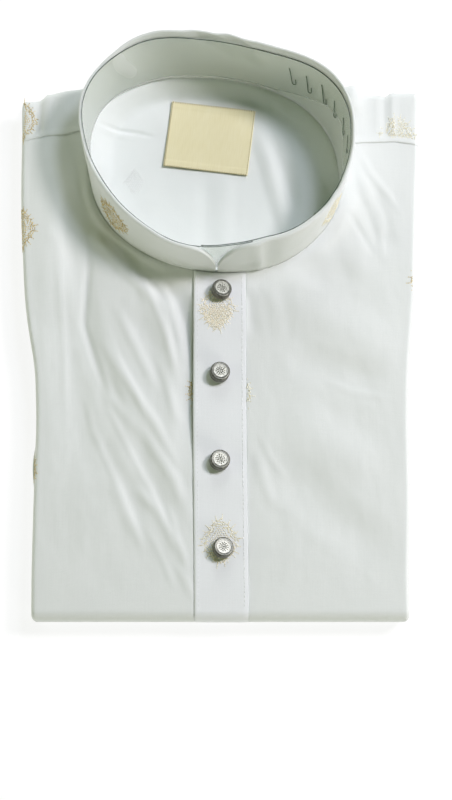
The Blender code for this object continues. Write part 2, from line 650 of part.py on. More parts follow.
def build_collar_support():
    inset = BAND_WALL / 2 + SEAM_GAP + STRIP_WALL / 2
    lap = STRIP_WALL + SEAM_GAP

    def point(turn, share, grow):
        wrap = turn % 360.0
        level = STRIP_RISE + (band_height(wrap) - STRIP_DROP - STRIP_RISE) * share
        return band_point(turn, level, grow - inset - lap * smooth(turn, 310.0, 345.0))

    turns = [OPENING_TURN + t for t in steps(-STRIP_OVERLAP, 360.0 + STRIP_OVERLAP, 60)]
    outer, inner = [[[point(t, share, grow) for t in turns] for share in steps(0.0, 1.0, 2)]
                    for grow in (STRIP_WALL / 2, -STRIP_WALL / 2)]
    make_wall("collar_support", outer, inner, CLEAR_PLASTIC)


# ---- placket: a strip made on the front's own points, moved out ------------
def build_placket():
    across = steps(PLACKET_LEFT, PLACKET_RIGHT, 4)
    starts = [neck_y(c, NECK_FRONT_ARC) - PLACKET_TOP_GAP for c in across]

    def grid(into):
        rows = [[front_point(c, y0 + (BEND_Y - y0) * v, 0.0, into) for c, y0 in zip(across, starts)]
                for v in steps(0.0, 1.0, FRONT_ROWS)]
        rows += [[front_point(c, BEND_Y, bend, into) for c in across] for bend in BENDS]
        rows += [[front_point(c, y, 180.0, into) for c in across]
                 for y in steps(-145.0, PLACKET_END_Y, PLACKET_UNDER_ROWS)]
        return rows

    make_wall("placket", grid(-SEAM_GAP - PLACKET_WALL), grid(-SEAM_GAP), BAND_CLOTH)


# ---- buttons: turned metal shank buttons, fastened -------------------------
def build_buttons():
    for number, place in enumerate(BUTTONS, 1):
        bm = bmesh.new()
        verts = [bm.verts.new((t.radius, 0.0, t.height)) for t in reversed(BUTTON_PROFILE)]
        for a, b in zip(verts, verts[1:]):
            bm.edges.new((a, b))
        obj = make_object(f"button_{number}", bm, DARK_METAL)
        turn = obj.modifiers.new("turned", "SCREW")
        turn.steps = 20
        turn.render_steps = 20
        turn.use_merge_vertices = True
        turn.merge_threshold = 0.00001
        x, y, z = front_point(place.x, place.y, 0.0, -2 * SEAM_GAP - PLACKET_WALL)
        obj.location = (x * MM, y * MM, z * MM)


# ---- label: a woven tape sewn inside the back, on the back's own points ----
def build_label():
    a = radians(LABEL_TURN)

    def point(right, up, lift):
        x = LABEL_CENTRE[0] + right * cos(a) - up * sin(a)
        y = LABEL_CENTRE[1] + right * sin(a) + up * cos(a)
        return x, y, back_under(x, y) + WALL + SEAM_GAP + lift

    outer, inner = [[[point(right, up, lift) for right in steps(-LABEL_WIDTH / 2, LABEL_WIDTH / 2, 5)]
                     for up in steps(LABEL_HEIGHT / 2, -LABEL_HEIGHT / 2, 4)] for lift in (LABEL_WALL, 0.0)]
    make_wall("label", outer, inner, CREAM_TAPE)


for old in list(bpy.data.objects):
    bpy.data.objects.remove(old, do_unlink=True)
collection = bpy.data.collections.new("folded_kurta")
bpy.context.scene.collection.children.link(collection)

build_front()
build_back()
build_folded_layers()
build_collar_band()
build_collar_support()
build_placket()
build_buttons()
build_label()
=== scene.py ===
"""A men's kurta tunic of white cotton with woven golden motifs, folded flat and
lying on its back, front up, its band collar held round by a strip of clear film.

Sizes are in millimetres until a mesh is made. +X is to the right, +Y towards the
collar and +Z up, and the pack lies on z = 0.
"""
import random
from collections import namedtuple
from math import cos, hypot, pi, radians, sin

import bmesh
import bpy
import numpy as np
from mathutils import Matrix, Vector, noise


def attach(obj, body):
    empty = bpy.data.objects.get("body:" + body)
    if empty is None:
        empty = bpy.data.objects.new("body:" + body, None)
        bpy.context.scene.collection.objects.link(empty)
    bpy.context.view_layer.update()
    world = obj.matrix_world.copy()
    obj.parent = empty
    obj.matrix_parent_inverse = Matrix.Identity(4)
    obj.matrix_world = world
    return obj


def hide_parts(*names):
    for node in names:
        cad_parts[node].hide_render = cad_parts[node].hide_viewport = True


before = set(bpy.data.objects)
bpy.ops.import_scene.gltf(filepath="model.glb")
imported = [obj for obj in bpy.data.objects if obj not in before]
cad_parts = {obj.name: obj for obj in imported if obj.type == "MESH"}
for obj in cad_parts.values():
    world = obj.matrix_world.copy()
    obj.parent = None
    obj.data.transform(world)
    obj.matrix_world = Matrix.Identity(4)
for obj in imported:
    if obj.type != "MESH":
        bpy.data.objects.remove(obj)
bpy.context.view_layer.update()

bpy.ops.object.select_all(action="DESELECT")
MM = 0.001

# ---- table, light and camera -------------------------------------------------
# A plain pale table top with a pale wall far round it, two soft lamps high on the
# right beyond the collar, low fills in front, on the left and behind, and a faint
# light from all round. The camera looks down, ten degrees off upright.
TABLE_SIZE = 20000.0
TABLE_TOP = -0.3
WALL_RADIUS = 9000.0
WALL_HEIGHT = 4000.0
LAMP_DISTANCE = 1900.0
CAMERA_PITCH = 10.0
CAMERA_DISTANCE = 850.0
LOOK_AT = (3.3, -42.75, 22.0)
bpy.ops.mesh.primitive_plane_add(size=TABLE_SIZE * MM, location=(0.0, 0.0, TABLE_TOP * MM))
table_top = bpy.context.object
table_top.name = "table_top"
table_finish = bpy.data.materials.new("table_top")
table_finish.use_nodes = True
table_shader = table_finish.node_tree.nodes["Principled BSDF"]
table_shader.inputs["Base Color"].default_value = (0.22, 0.22, 0.22, 1.0)
table_shader.inputs["Emission Color"].default_value = (1.0, 1.0, 1.0, 1.0)
table_shader.inputs["Emission Strength"].default_value = 0.84
table_shader.inputs["Roughness"].default_value = 0.9
table_shader.inputs["Specular IOR Level"].default_value = 0.1
table_top.data.materials.append(table_finish)
bpy.ops.mesh.primitive_cylinder_add(
    vertices=96, radius=WALL_RADIUS * MM, depth=WALL_HEIGHT * MM, end_fill_type="NOTHING")
far_wall = bpy.context.object
far_wall.name = "far_wall"
far_wall.data.materials.append(table_finish)

Lamp = namedtuple("Lamp", "name azimuth elevation size power color")
LAMPS = [
    Lamp("key", 24.0, 49.0, 380.0, 20.6, (1.0, 0.94, 0.98)),
    Lamp("side_key", 46.0, 58.0, 400.0, 11.0, (0.77, 0.81, 1.0)),
    Lamp("front_fill", -55.0, 16.0, 800.0, 8.8, (1.0, 0.97, 0.86)),
    Lamp("left_fill", 180.0, 14.0, 800.0, 6.2, (1.0, 1.0, 0.74)),
    Lamp("back_fill", 90.0, 25.0, 800.0, 8.4, (0.88, 0.92, 0.90)),
]
for lamp in LAMPS:
    azimuth, height = radians(lamp.azimuth), radians(lamp.elevation)
    away = Vector((cos(height) * cos(azimuth), cos(height) * sin(azimuth), sin(height)))
    bpy.ops.object.light_add(type="AREA", location=away * LAMP_DISTANCE * MM)
    light = bpy.context.object
    light.name = lamp.name
    light.rotation_euler = away.to_track_quat("Z", "Y").to_euler()
    light.data.shape = "DISK"
    light.data.size = lamp.size * MM
    light.data.energy = lamp.power
    light.data.color = lamp.color

room = bpy.data.worlds.new("room")
room.use_nodes = True
room_light = room.node_tree.nodes["Background"].inputs
room_light["Color"].default_value = (0.62, 1.0, 0.30, 1.0)
room_light["Strength"].default_value = 0.09
bpy.context.scene.world = room
bpy.context.scene.view_settings.view_transform = "Standard"

bpy.ops.object.camera_add(
    location=(
        LOOK_AT[0] * MM,
        (LOOK_AT[1] - CAMERA_DISTANCE * sin(radians(CAMERA_PITCH))) * MM,
        (LOOK_AT[2] + CAMERA_DISTANCE * cos(radians(CAMERA_PITCH))) * MM,
    ),
    rotation=(radians(CAMERA_PITCH), 0.0, 0.0),
)
camera = bpy.context.object
camera.data.lens = 63.75
camera.data.sensor_width = 36.0
camera.data.clip_start = 0.01
bpy.context.scene.camera = camera
bpy.ops.object.select_all(action="DESELECT")

# ---- front panel -------------------------------------------------------------
# One width of fine white cotton, from the shoulder seams and the neck seam down
# over the bottom fold and back underneath, with both sides turned under. It is a
# sheet, creased where the folded shirt pulls, and sinks under the placket.
PACK_HEIGHT = 22.0
HALF_HEIGHT = PACK_HEIGHT / 2
PLY = 0.7
FOLD_Y = -174.2
BEND_REACH = 0.55    # how round the bottom fold is: 1 is half a circle
BEND_Y = FOLD_Y + HALF_HEIGHT * BEND_REACH
FLAT_HALF = 117.0    # columns of the sheet further out than this lie on a side fold
SPREAD_FROM = 80.0
SIDE_REACH = 3.0
SIDE_DROP = 6.0
SIDE_TURN = 110.0
SIDE_WRAP = 4.6      # cloth that a side fold takes up for each radian
HEM_OPEN_Y = 127.0
HEM_FOLD_Y = 147.0
HEM_RADIUS = 3.5
TOP_RADIUS = 5.5
PLACKET_LEFT = -16.4
PLACKET_RIGHT = 15.2
PLACKET_END_Y = -60.0
BED_TOP = 1.3
BED_UNDER = 2.3

Edge = namedtuple("Edge", "y left right")
EDGES = [
    Edge(-174, 111.2, 111.3), Edge(-147, 111.7, 111.4), Edge(-102, 111.5, 113.1),
    Edge(-54, 110.9, 113.2), Edge(-23, 112.4, 114.3), Edge(5, 117.7, 116.9),
    Edge(22, 119.9, 118.6), Edge(52, 121.9, 119.9), Edge(84, 123.6, 121.3),
    Edge(117, 123.9, 123.0), Edge(160, 123.9, 123.9),
]

TopLine = namedtuple("TopLine", "x fold seam")
TOP_LINES = [
    TopLine(-124, 147.6, 120.0), TopLine(-116, 147.9, 122.0), TopLine(-108, 152.0, 124.2),
    TopLine(-98, 154.7, 124.4), TopLine(-88, 156.6, 127.0), TopLine(-77, 160.0, 129.5),
    TopLine(-60, 164.4, 129.5), TopLine(-30, 166.2, 129.5), TopLine(10, 165.9, 121.0),
    TopLine(35, 164.2, 120.0), TopLine(60, 160.0, 119.5), TopLine(77, 156.6, 119.0),
    TopLine(84, 156.4, 119.2), TopLine(89, 152.0, 119.6), TopLine(103, 152.0, 120.0),
    TopLine(108, 153.3, 120.2), TopLine(124, 153.3, 118.0),
]

Ring = namedtuple("Ring", "x y half_width half_depth shear power pull")
NECK = Ring(-2.0, 101.0, half_width=76.5, half_depth=62.5, shear=-0.15, power=2.2, pull="seam")
NECK_RADIUS = 70.0

# How far the cloth pulls the neck seam and the collar's top out of their rings.
Pull = namedtuple("Pull", "turn seam top")
PULLS = [
    Pull(0, 1.0, 0.5), Pull(10, 1.2, 3.0), Pull(16, 1.4, 3.6), Pull(23, 1.6, 3.2),
    Pull(31, 2.0, 1.2), Pull(40, 2.3, -1.2), Pull(52, 2.8, -2.2), Pull(66, 3.4, -2.9),
    Pull(78, 2.6, -1.2), Pull(90, 2.0, 1.0), Pull(102, 2.4, 2.5), Pull(116, 3.4, 2.5),
    Pull(128, 4.0, 2.2), Pull(140, 2.4, 1.8), Pull(150, 1.2, 2.8), Pull(162, 0.2, 3.2),
    Pull(176, -1.2, 0.5), Pull(189, -1.8, -2.8), Pull(204, -2.0, -3.9), Pull(216, -1.2, -2.2),
    Pull(229, -0.4, 1.6), Pull(240, 0.0, 3.2), Pull(252, 0.0, 3.4), Pull(262, -0.4, 1.8),
    Pull(272, -1.0, -1.6), Pull(282, -1.8, -4.8), Pull(294, -3.2, -6.6), Pull(308, -4.5, -7.0),
    Pull(320, -4.2, -6.4), Pull(334, -2.2, -5.0), Pull(346, -0.2, -3.8), Pull(354, 0.6, -2.6),
    Pull(360, 1.0, 0.5),
]

# A crease runs through its points: a ridge where its height is above 0, a trough
# where it is below. sharp is 1 for a soft roll and 2 for a pressed edge.
Crease = namedtuple("Crease", "points half_width height sharp", defaults=[1])
FRONT_CREASES = [
    Crease([(-106, 128), (-105, 63), (-102, -6)], 9, 1.0),
    Crease([(-89, 126), (-87, 82), (-84, 48), (-82, 14)], 10, -2.3),
    Crease([(-84, 52), (-82, 18), (-78, -8), (-72, -26), (-66, -43), (-61, -74)], 6, -1.3),
    Crease([(-82, 66), (-63, 44), (-48, 29), (-39, 12)], 3.6, 2.0),
    Crease([(-74, 72), (-53, 40), (-38, 30), (-27, 19), (-21, -8)], 6, -1.9),
    Crease([(-57, 50), (-36, 28), (-26, 2), (-21, -26)], 2.8, 1.3),
    Crease([(-78, -10), (-66, -41), (-45, -66), (-27, -91), (-16, -121)], 3.2, 1.3),
    Crease([(-74, -14), (-62, -44), (-42, -72), (-26, -96)], 3.4, -1.0),
    Crease([(-76, 2), (-57, -30), (-39, -57), (-21, -92)], 2.8, 1.2),
    Crease([(-66, 20), (-50, -12), (-36, -42)], 2.6, 0.8),
    Crease([(-54, -92), (-38, -108), (-19, -143)], 2.8, 1.0),
    Crease([(-40, -8), (-29, -44), (-22, -66)], 2.6, 0.9),
    Crease([(-66, -88), (-56, -112), (-46, -132)], 3.0, 0.6),
    Crease([(-98, 96), (-95, 60), (-91, 30)], 4, -0.7),
    Crease([(-92, 30), (-88, -10), (-84, -50), (-80, -96)], 12, -2.0),
    Crease([(28, 30), (34, 14), (36, -10)], 4, 0.5),
    Crease([(20, -70), (26, -92), (34, -112)], 3, 0.5),
    Crease([(82, 107), (88, 94), (97, 73), (102, 52)], 2.6, 0.9),
    Crease([(-50, 33), (-34, 12), (-27, -17), (-24, -42)], 6, 1.3),
    Crease([(-60, 16), (-44, -2), (-35, -24), (-31, -44)], 7, -1.2),
    Crease([(-68, -14), (-52, -44), (-40, -70)], 9, 0.8),
    Crease([(-55, -60), (-40, -89), (-32, -106), (-29, -122)], 6, -1.2),
    Crease([(-60, -82), (-51, -105), (-44, -121)], 5, -0.9),
    Crease([(-71, -64), (-66, -78), (-60, -92)], 5, -0.7),
    Crease([(-46, -62), (-33, -88), (-25, -112)], 5, 0.7),
    Crease([(-26, -139), (-20, -152), (-14, -165)], 3, 0.8, 2),
    Crease([(-70, 6), (-62, -16), (-50, -40), (-41, -62)], 1.3, 0.55),
    Crease([(-76, -20), (-66, -50), (-52, -78), (-38, -104), (-26, -132)], 1.5, 0.65),
    Crease([(-84, -30), (-76, -62), (-62, -92), (-50, -120), (-42, -148)], 1.8, 0.6),
    Crease([(-34, 30), (-28, 10), (-24, -14)], 1.4, 0.6),
    Crease([(-46, 38), (-33, 18), (-27, -8), (-23, -34)], 1.5, -0.6),
    Crease([(-36, -96), (-28, -116), (-21, -138), (-17, -156)], 1.4, 0.6),
    Crease([(-44, -118), (-34, -138), (-26, -158)], 1.5, 0.5),
    Crease([(-100, 60), (-97, 20), (-94, -20), (-92, -70)], 2.2, 0.5),
    Crease([(84, 118), (92, 100), (104, 84), (112, 70)], 1.7, 0.7),
    Crease([(83, 96), (91, 80), (98, 60), (100, 40)], 1.6, 0.6),
    Crease([(76, 78), (86, 62), (95, 44)], 1.6, -0.6),
    Crease([(22, -60), (30, -78), (40, -92)], 1.5, 0.4),
    Crease([(60, -30), (80, -38), (104, -42)], 2.0, 0.4),
    Crease([(-22.5, 48), (-22, 18), (-20.6, -8), (-18.8, -44), (-17.8, -90)], 7, -3.0),
    Crease([(-40, 34), (-30, 10), (-23, -18)], 8, -1.3),
    Crease([(-80.5, 66), (-81, 36), (-83, 4), (-76, -18), (-66, -47), (-62, -60)], 1.8, -1.2),
    Crease([(-53, 46), (-43, 24), (-33, -2), (-26, -30)], 1.5, 0.9),
    Crease([(26, 26), (60, 10), (82, -4), (116, -18)], 13, 2.0),
    Crease([(34, -52), (64, -70), (96, -92)], 13, 1.8),
    Crease([(40, 42), (62, 36), (86, 34)], 8, -1.1),
    Crease([(36, -12), (66, -24), (104, -34)], 9, -1.3),
    Crease([(24, -76), (50, -96), (70, -115), (108, -142)], 11, -1.6),
    Crease([(17.5, 26), (18.5, 12), (20, -6)], 3.5, -0.8),
    Crease([(90, 92), (95, 72), (103, 46)], 7, -1.0),
    Crease([(78, 60), (84, 44), (92, 30)], 7, 0.6),
    Crease([(-113, 14), (-113, -18)], 2.5, -0.6),
]
# Rolls of cloth beside the collar's foot: their height, place and width in shares of
# the neck ring, and the turns between which they rise and then fade.
NECK_ROLLS = [
    (1.9, 1.06, 0.03, (22.0, 38.0), (72.0, 96.0)),
    (1.2, 1.10, 0.05, (276.0, 292.0), (318.0, 336.0)),
]
SHOULDER_CREASES = [
    Crease([(-110, 164), (-112.5, 146), (-113, 112)], 2.4, -1.7),
    Crease([(-107, 164), (-109, 146), (-109.5, 112)], 2.4, 0.8),
    Crease([(103, 166), (102.5, 145), (102, 112)], 2.4, -1.8),
    Crease([(106.5, 166), (106, 145), (105.5, 118)], 2.4, 0.8),
    Crease([(82.5, 166), (82.5, 150), (82, 136)], 4.5, 2.6),
    Crease([(-88, 160), (-87, 144), (-85, 128)], 7, -0.9),
    Crease([(94, 160), (93, 140), (92, 120)], 5, -0.6),
]


def smooth(value, start, stop):
    """0 before start, 1 after stop, and an S curve between them."""
    t = np.clip((value - start) / (stop - start), 0.0, 1.0)
    return t * t * (3 - 2 * t)


def half_width(y, side):
    """From the centre line to the pack's edge, with the corners of its outline eased."""
    ys, lefts, rights = zip(*EDGES)
    left = sum(np.interp(y + ease, ys, lefts) for ease in (-8, -4, 0, 4, 8)) / 5
    right = sum(np.interp(y + ease, ys, rights) for ease in (-8, -4, 0, 4, 8)) / 5
    return np.where(side < 0, left, right)


def top_line(x, column):
    """y of the shoulder fold or of the shoulder seam, across the pack."""
    return np.interp(x, [t.x for t in TOP_LINES], [getattr(t, column) for t in TOP_LINES])


def ring_pull(ring, turn):
    """How far out the cloth pulls a ring at a turn, eased from one pull to the next."""
    turns = [p.turn for p in PULLS]
    pulls = [getattr(p, ring.pull) for p in PULLS]
    return sum(np.interp((turn + ease) % 360.0, turns, pulls) for ease in (-6, 0, 6)) / 3


def ring_point(ring, turn, grow=0.0):
    """Point of a ring, by its turn in degrees from the centre front past the left."""
    c, s = -np.sin(np.radians(turn)), -np.cos(np.radians(turn))
    grow = grow + ring_pull(ring, turn)
    out_x = np.sign(c) * np.abs(c) ** (2 / ring.power) * (ring.half_width + grow)
    out_y = np.sign(s) * np.abs(s) ** (2 / ring.power) * (ring.half_depth + grow)
    return ring.x + out_x + ring.shear * out_y, ring.y + out_y


def ring_place(x, y):
    """How far out a point lies on the neck ring (1 on the seam), and its turn."""
    along_y = (y - NECK.y) / NECK.half_depth
    along_x = (x - NECK.x - NECK.shear * (y - NECK.y)) / NECK.half_width
    part_x = np.abs(along_x) ** (NECK.power / 2)
    part_y = np.abs(along_y) ** (NECK.power / 2)
    turn = np.degrees(np.arctan2(-np.sign(along_x) * part_x, -np.sign(along_y) * part_y)) % 360.0
    return np.hypot(part_x, part_y) ** (2 / NECK.power) - ring_pull(NECK, turn) / NECK_RADIUS, turn


def neck_height(x, y):
    """Height of the cloth at the neck seam."""
    away = np.clip((y - top_line(x, "fold") + TOP_RADIUS) / TOP_RADIUS, 0.0, 1.0)
    return PACK_HEIGHT - TOP_RADIUS + TOP_RADIUS * np.sqrt(1 - away * away)


def cut_neck(grid):
    """Leaves the neck out of a sheet's cells, and draws the rest up to the neck seam."""
    x, y, z = grid[..., 0], grid[..., 1], grid[..., 2]
    out, turn = ring_place(x, y)
    kept = np.ones((grid.shape[0] - 1, grid.shape[1] - 1), dtype=bool)
    corners = [out[:-1, :-1], out[1:, :-1], out[:-1, 1:], out[1:, 1:]]
    kept[(sum(corners) / 4 < 1.0) & (z[:-1, :-1] > HALF_HEIGHT + 4.0)] = False
    beside_kept = np.zeros(out.shape, dtype=bool)
    beside_cut = np.zeros(out.shape, dtype=bool)
    for rows in (slice(0, -1), slice(1, None)):
        for columns in (slice(0, -1), slice(1, None)):
            beside_kept[rows, columns] |= kept
            beside_cut[rows, columns] |= ~kept
    edge = beside_kept & beside_cut
    seam_x, seam_y = ring_point(NECK, turn)
    seam = np.stack([seam_x, seam_y, neck_height(seam_x, seam_y)], axis=-1)
    return np.where(edge[..., None], seam, grid), kept


def crease_relief(x, y, creases):
    """Height that a set of creases adds at a point. Each fades out at its ends."""
    total = np.zeros(np.broadcast(x, y).shape)
    for crease in creases:
        nearest = np.full(total.shape, 1e9)
        share = np.zeros(total.shape)
        runs = [hypot(b[0] - a[0], b[1] - a[1]) for a, b in zip(crease.points, crease.points[1:])]
        done = 0.0
        for (ax, ay), (bx, by), run in zip(crease.points, crease.points[1:], runs):
            t = np.clip(((x - ax) * (bx - ax) + (y - ay) * (by - ay)) / run ** 2, 0.0, 1.0)
            away = np.hypot(x - ax - t * (bx - ax), y - ay - t * (by - ay))
            share = np.where(away < nearest, (done + t * run) / sum(runs), share)
            nearest = np.minimum(away, nearest)
            done += run
        across = (1 - smooth(nearest / crease.half_width, 0.0, 1.7)) ** crease.sharp
        total += crease.height * across * smooth(share, 0.0, 0.3) * smooth(1 - share, 0.0, 0.3)
    return total


def ripple(x, y, size, seed):
    """Small unevenness of hand-folded cloth, about -1 to 1."""
    flat = zip(np.ravel(x), np.ravel(y))
    values = [noise.fractal(Vector((px / size, py / size, seed)), 1.0, 2.0, 3) for px, py in flat]
    return np.reshape(values, np.shape(x))


def placket_lean(y):
    """Sideways shift of the placket and of the cloth under it."""
    return 1.1 * smooth(-y, 40.0, -FOLD_Y)


def bed_depth(x, lean, under):
    """How far the front sinks under the placket, on top or (under = 1) below the pack."""
    inside = np.minimum(x - lean - PLACKET_LEFT, PLACKET_RIGHT - (x - lean)) - 1.2
    return (BED_TOP + (BED_UNDER - BED_TOP) * under) * smooth(inside, -1.8, -0.5)


def top_relief(x, y):
    """Creases and unevenness of the top face, fading at the folds and the neck seam."""
    fade = smooth(half_width(y, x) - SIDE_REACH - np.abs(x), -1.0, 7.0)
    fade = fade * smooth(y, BEND_Y, BEND_Y + 22)
    out, turn = ring_place(x, y)
    uneven = (0.38 * ripple(x, y, 42.0, 3.0) + 0.20 * ripple(x * 1.5, y * 0.6, 13.0, 9.0)
              + 0.06 * ripple(x * 1.3, y * 0.8, 6.0, 15.0))
    rolls = 0.0
    for height, place, width, rise, fall in NECK_ROLLS:
        across = height * np.exp(-((out - place) / width) ** 2)
        rolls = rolls + across * smooth(turn, *rise) * (1 - smooth(turn, *fall))
    near_neck = smooth(out, 1.0, 1.12)
    return (crease_relief(x, y, FRONT_CREASES) * near_neck + uneven * near_neck + rolls) * fade


def side_fold(y, side, angle, opened=0.0):
    """x and depth on a side fold, by its angle from the top; opened flattens the fold."""
    a = np.radians(angle)
    start = half_width(y, side) - SIDE_REACH
    folded = start + SIDE_REACH * np.sin(a)
    flat = start + SIDE_REACH * angle / SIDE_TURN
    return side * (folded + (flat - folded) * opened), SIDE_DROP * (1 - np.cos(a)) * (1 - opened)


def on_side_fold(column):
    return np.abs(column) > FLAT_HALF + 0.01


def spread(column, y):
    """x of a column of the sheet: beyond the neck the columns spread with the pack."""
    room = half_width(y, column) - SIDE_REACH - SPREAD_FROM
    beyond = np.maximum(np.abs(column) - SPREAD_FROM, 0.0)
    outer = np.minimum(np.abs(column), SPREAD_FROM) + beyond * room / (FLAT_HALF - SPREAD_FROM)
    return np.sign(column) * outer


def round_bottom(x, y, radius, bend):
    """Points at a distance from the pack's middle height, round the bottom fold."""
    a = np.radians(bend)
    around_y = y - BEND_REACH * radius * np.sin(a)
    return np.stack([x, around_y, HALF_HEIGHT + radius * np.cos(a)], axis=-1)


def front_point(column, angle, y, bend=0.0, under=0.0, opened=0.0):
    """Points of the front: on its top face, round the bottom fold by bend degrees, and
    below the pack at 180. The outermost columns are on the side folds, at that angle."""
    y = np.broadcast_to(y, column.shape)
    side = np.sign(column)
    on_side = on_side_fold(column)
    lean = placket_lean(y) * (1 - smooth(np.abs(column), 30.0, 75.0))
    flat_x = spread(column, y) + lean
    past = smooth(y, PLACKET_END_Y + 8, PLACKET_END_Y + 35) * (under == 1.0)
    side_x, side_depth = side_fold(y, side, angle, opened)
    x = np.where(on_side, side_x, flat_x)
    depth = np.where(on_side, side_depth, bed_depth(flat_x, lean, under) * (1 - past))
    relief = np.where(on_side | (bend > 0), 0.0, top_relief(x, y))
    return round_bottom(x, y, HALF_HEIGHT - depth + relief, bend)


def seam_line(column):
    """y of the shoulder seam at a column. Round the sides it stays as at the edge."""
    outermost = np.sign(column) * TOP_LINES[-1].x
    return top_line(np.where(on_side_fold(column), outermost, spread(column, 122.0)), "seam")


def hem_point(column, angle, bend):
    """Points on the fold at the far end of the underside."""
    side_x = side_fold(HEM_FOLD_Y, np.sign(column), angle, 1.0)[0]
    x = np.where(on_side_fold(column), side_x, spread(column, HEM_FOLD_Y))
    a = np.radians(bend)
    y = np.full(x.shape, HEM_FOLD_Y + HEM_RADIUS * np.sin(a))
    return np.stack([x, y, np.full(x.shape, HEM_RADIUS - HEM_RADIUS * np.cos(a))], axis=-1)


def link_mesh(name, mesh):
    obj = bpy.data.objects.new(name, mesh)
    bpy.context.scene.collection.objects.link(obj)
    return obj


def sheet_mesh(name, grid, round_it=False, kept=None):
    """Smooth mesh over a grid of points in millimetres, rows going down and columns to
    the right as seen from outside, with the cloth's own length and width as its UVs.
    kept says which of its cells are there."""
    grid = np.asarray(grid, float)
    rows, columns = grid.shape[:2]
    steps_down = np.linalg.norm(np.diff(grid, axis=0), axis=2)
    steps_right = np.linalg.norm(np.diff(grid[rows // 2], axis=0), axis=1)
    down = np.vstack([np.zeros((1, columns)), np.cumsum(steps_down, axis=0)])
    right = np.concatenate([[0.0], np.cumsum(steps_right)])
    faces = []
    for i in range(rows - 1):
        for j in range(columns if round_it else columns - 1):
            if kept is not None and not kept[i, j]:
                continue
            here, below, k = i * columns, (i + 1) * columns, (j + 1) % columns
            faces.append((here + j, below + j, below + k, here + k))
    mesh = bpy.data.meshes.new(name)
    mesh.from_pydata((grid.reshape(-1, 3) * MM).tolist(), [], faces)
    layer = mesh.uv_layers.new(name="cloth")
    corner = np.empty(len(mesh.loops), dtype=int)
    mesh.loops.foreach_get("vertex_index", corner)
    uv = np.stack([np.tile(right, rows), -down.ravel()], axis=1) * MM
    layer.data.foreach_set("uv", uv[corner].ravel())
    mesh.shade_smooth()
    bm = bmesh.new()
    bm.from_mesh(mesh)
    bmesh.ops.delete(bm, geom=[v for v in bm.verts if not v.link_faces], context="VERTS")
    bm.to_mesh(mesh)
    bm.free()
    return link_mesh(name, mesh)


def thicken(obj, thickness, offset=-1.0):
    """Gives a sheet its thickness: inwards, or to both sides where offset is 0."""
    ply = obj.modifiers.new("ply", "SOLIDIFY")
    ply.thickness = thickness * MM
    ply.offset = offset
    ply.use_even_offset = False
    bpy.context.view_layer.objects.active = obj
    bpy.ops.object.modifier_apply(modifier=ply.name)


def on_front(x, y):
    """Points on the top face, going down round a side fold beyond its edge."""
    x, y = np.broadcast_arrays(np.asarray(x, float), np.asarray(y, float))
    past = np.maximum(np.abs(x) - half_width(y, x) + SIDE_REACH, 0.0)
    angle = np.minimum(np.degrees(past / SIDE_WRAP), SIDE_TURN - 2.0)
    side_x, side_depth = side_fold(y, np.sign(x), angle)
    on_back = y > top_line(x, "seam")
    relief = np.where(on_back, crease_relief(x, y, SHOULDER_CREASES), top_relief(x, y))
    rise = np.where(past > 0, -side_depth, relief)
    return np.stack([np.where(past > 0, side_x, x), y, PACK_HEIGHT + rise], axis=-1)


def cords(name, paths, radius, sides=5):
    """One mesh of thin round cords, each along a path of points."""
    bm = bmesh.new()
    turns = 2 * pi * np.arange(sides) / sides
    for path in paths:
        path = np.asarray(path, float)
        ahead = np.gradient(path, axis=0)
        ahead = ahead / np.linalg.norm(ahead, axis=1)[:, None]
        side = np.cross(ahead, (0.0, 0.0, 1.0) if abs(ahead[0, 2]) < 0.9 else (0.0, 1.0, 0.0))
        side = side / np.linalg.norm(side, axis=1)[:, None]
        up = np.cross(side, ahead)
        rings = []
        for place, s, u in zip(path, side, up):
            ring = [place + radius * (cos(t) * s + sin(t) * u) for t in turns]
            rings.append([bm.verts.new(point * MM) for point in ring])
        for near, far in zip(rings, rings[1:]):
            for k in range(sides):
                bm.faces.new((near[k], near[k - 1], far[k - 1], far[k]))
        bm.faces.new(rings[0])
        bm.faces.new(rings[-1][::-1])
    bmesh.ops.recalc_face_normals(bm, faces=bm.faces)
    mesh = bpy.data.meshes.new(name)
    bm.to_mesh(mesh)
    bm.free()
    mesh.shade_smooth()
    return link_mesh(name, mesh)


def make_up(obj, slot, finish, *nodes):
    """The piece rides with the pack, takes the finish it is given, and stands for these
    CAD nodes. Its slot is not used."""
    if finish is not None:
        obj.data.materials.append(finish)
    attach(obj, "root")
    if nodes:
        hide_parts(*nodes)


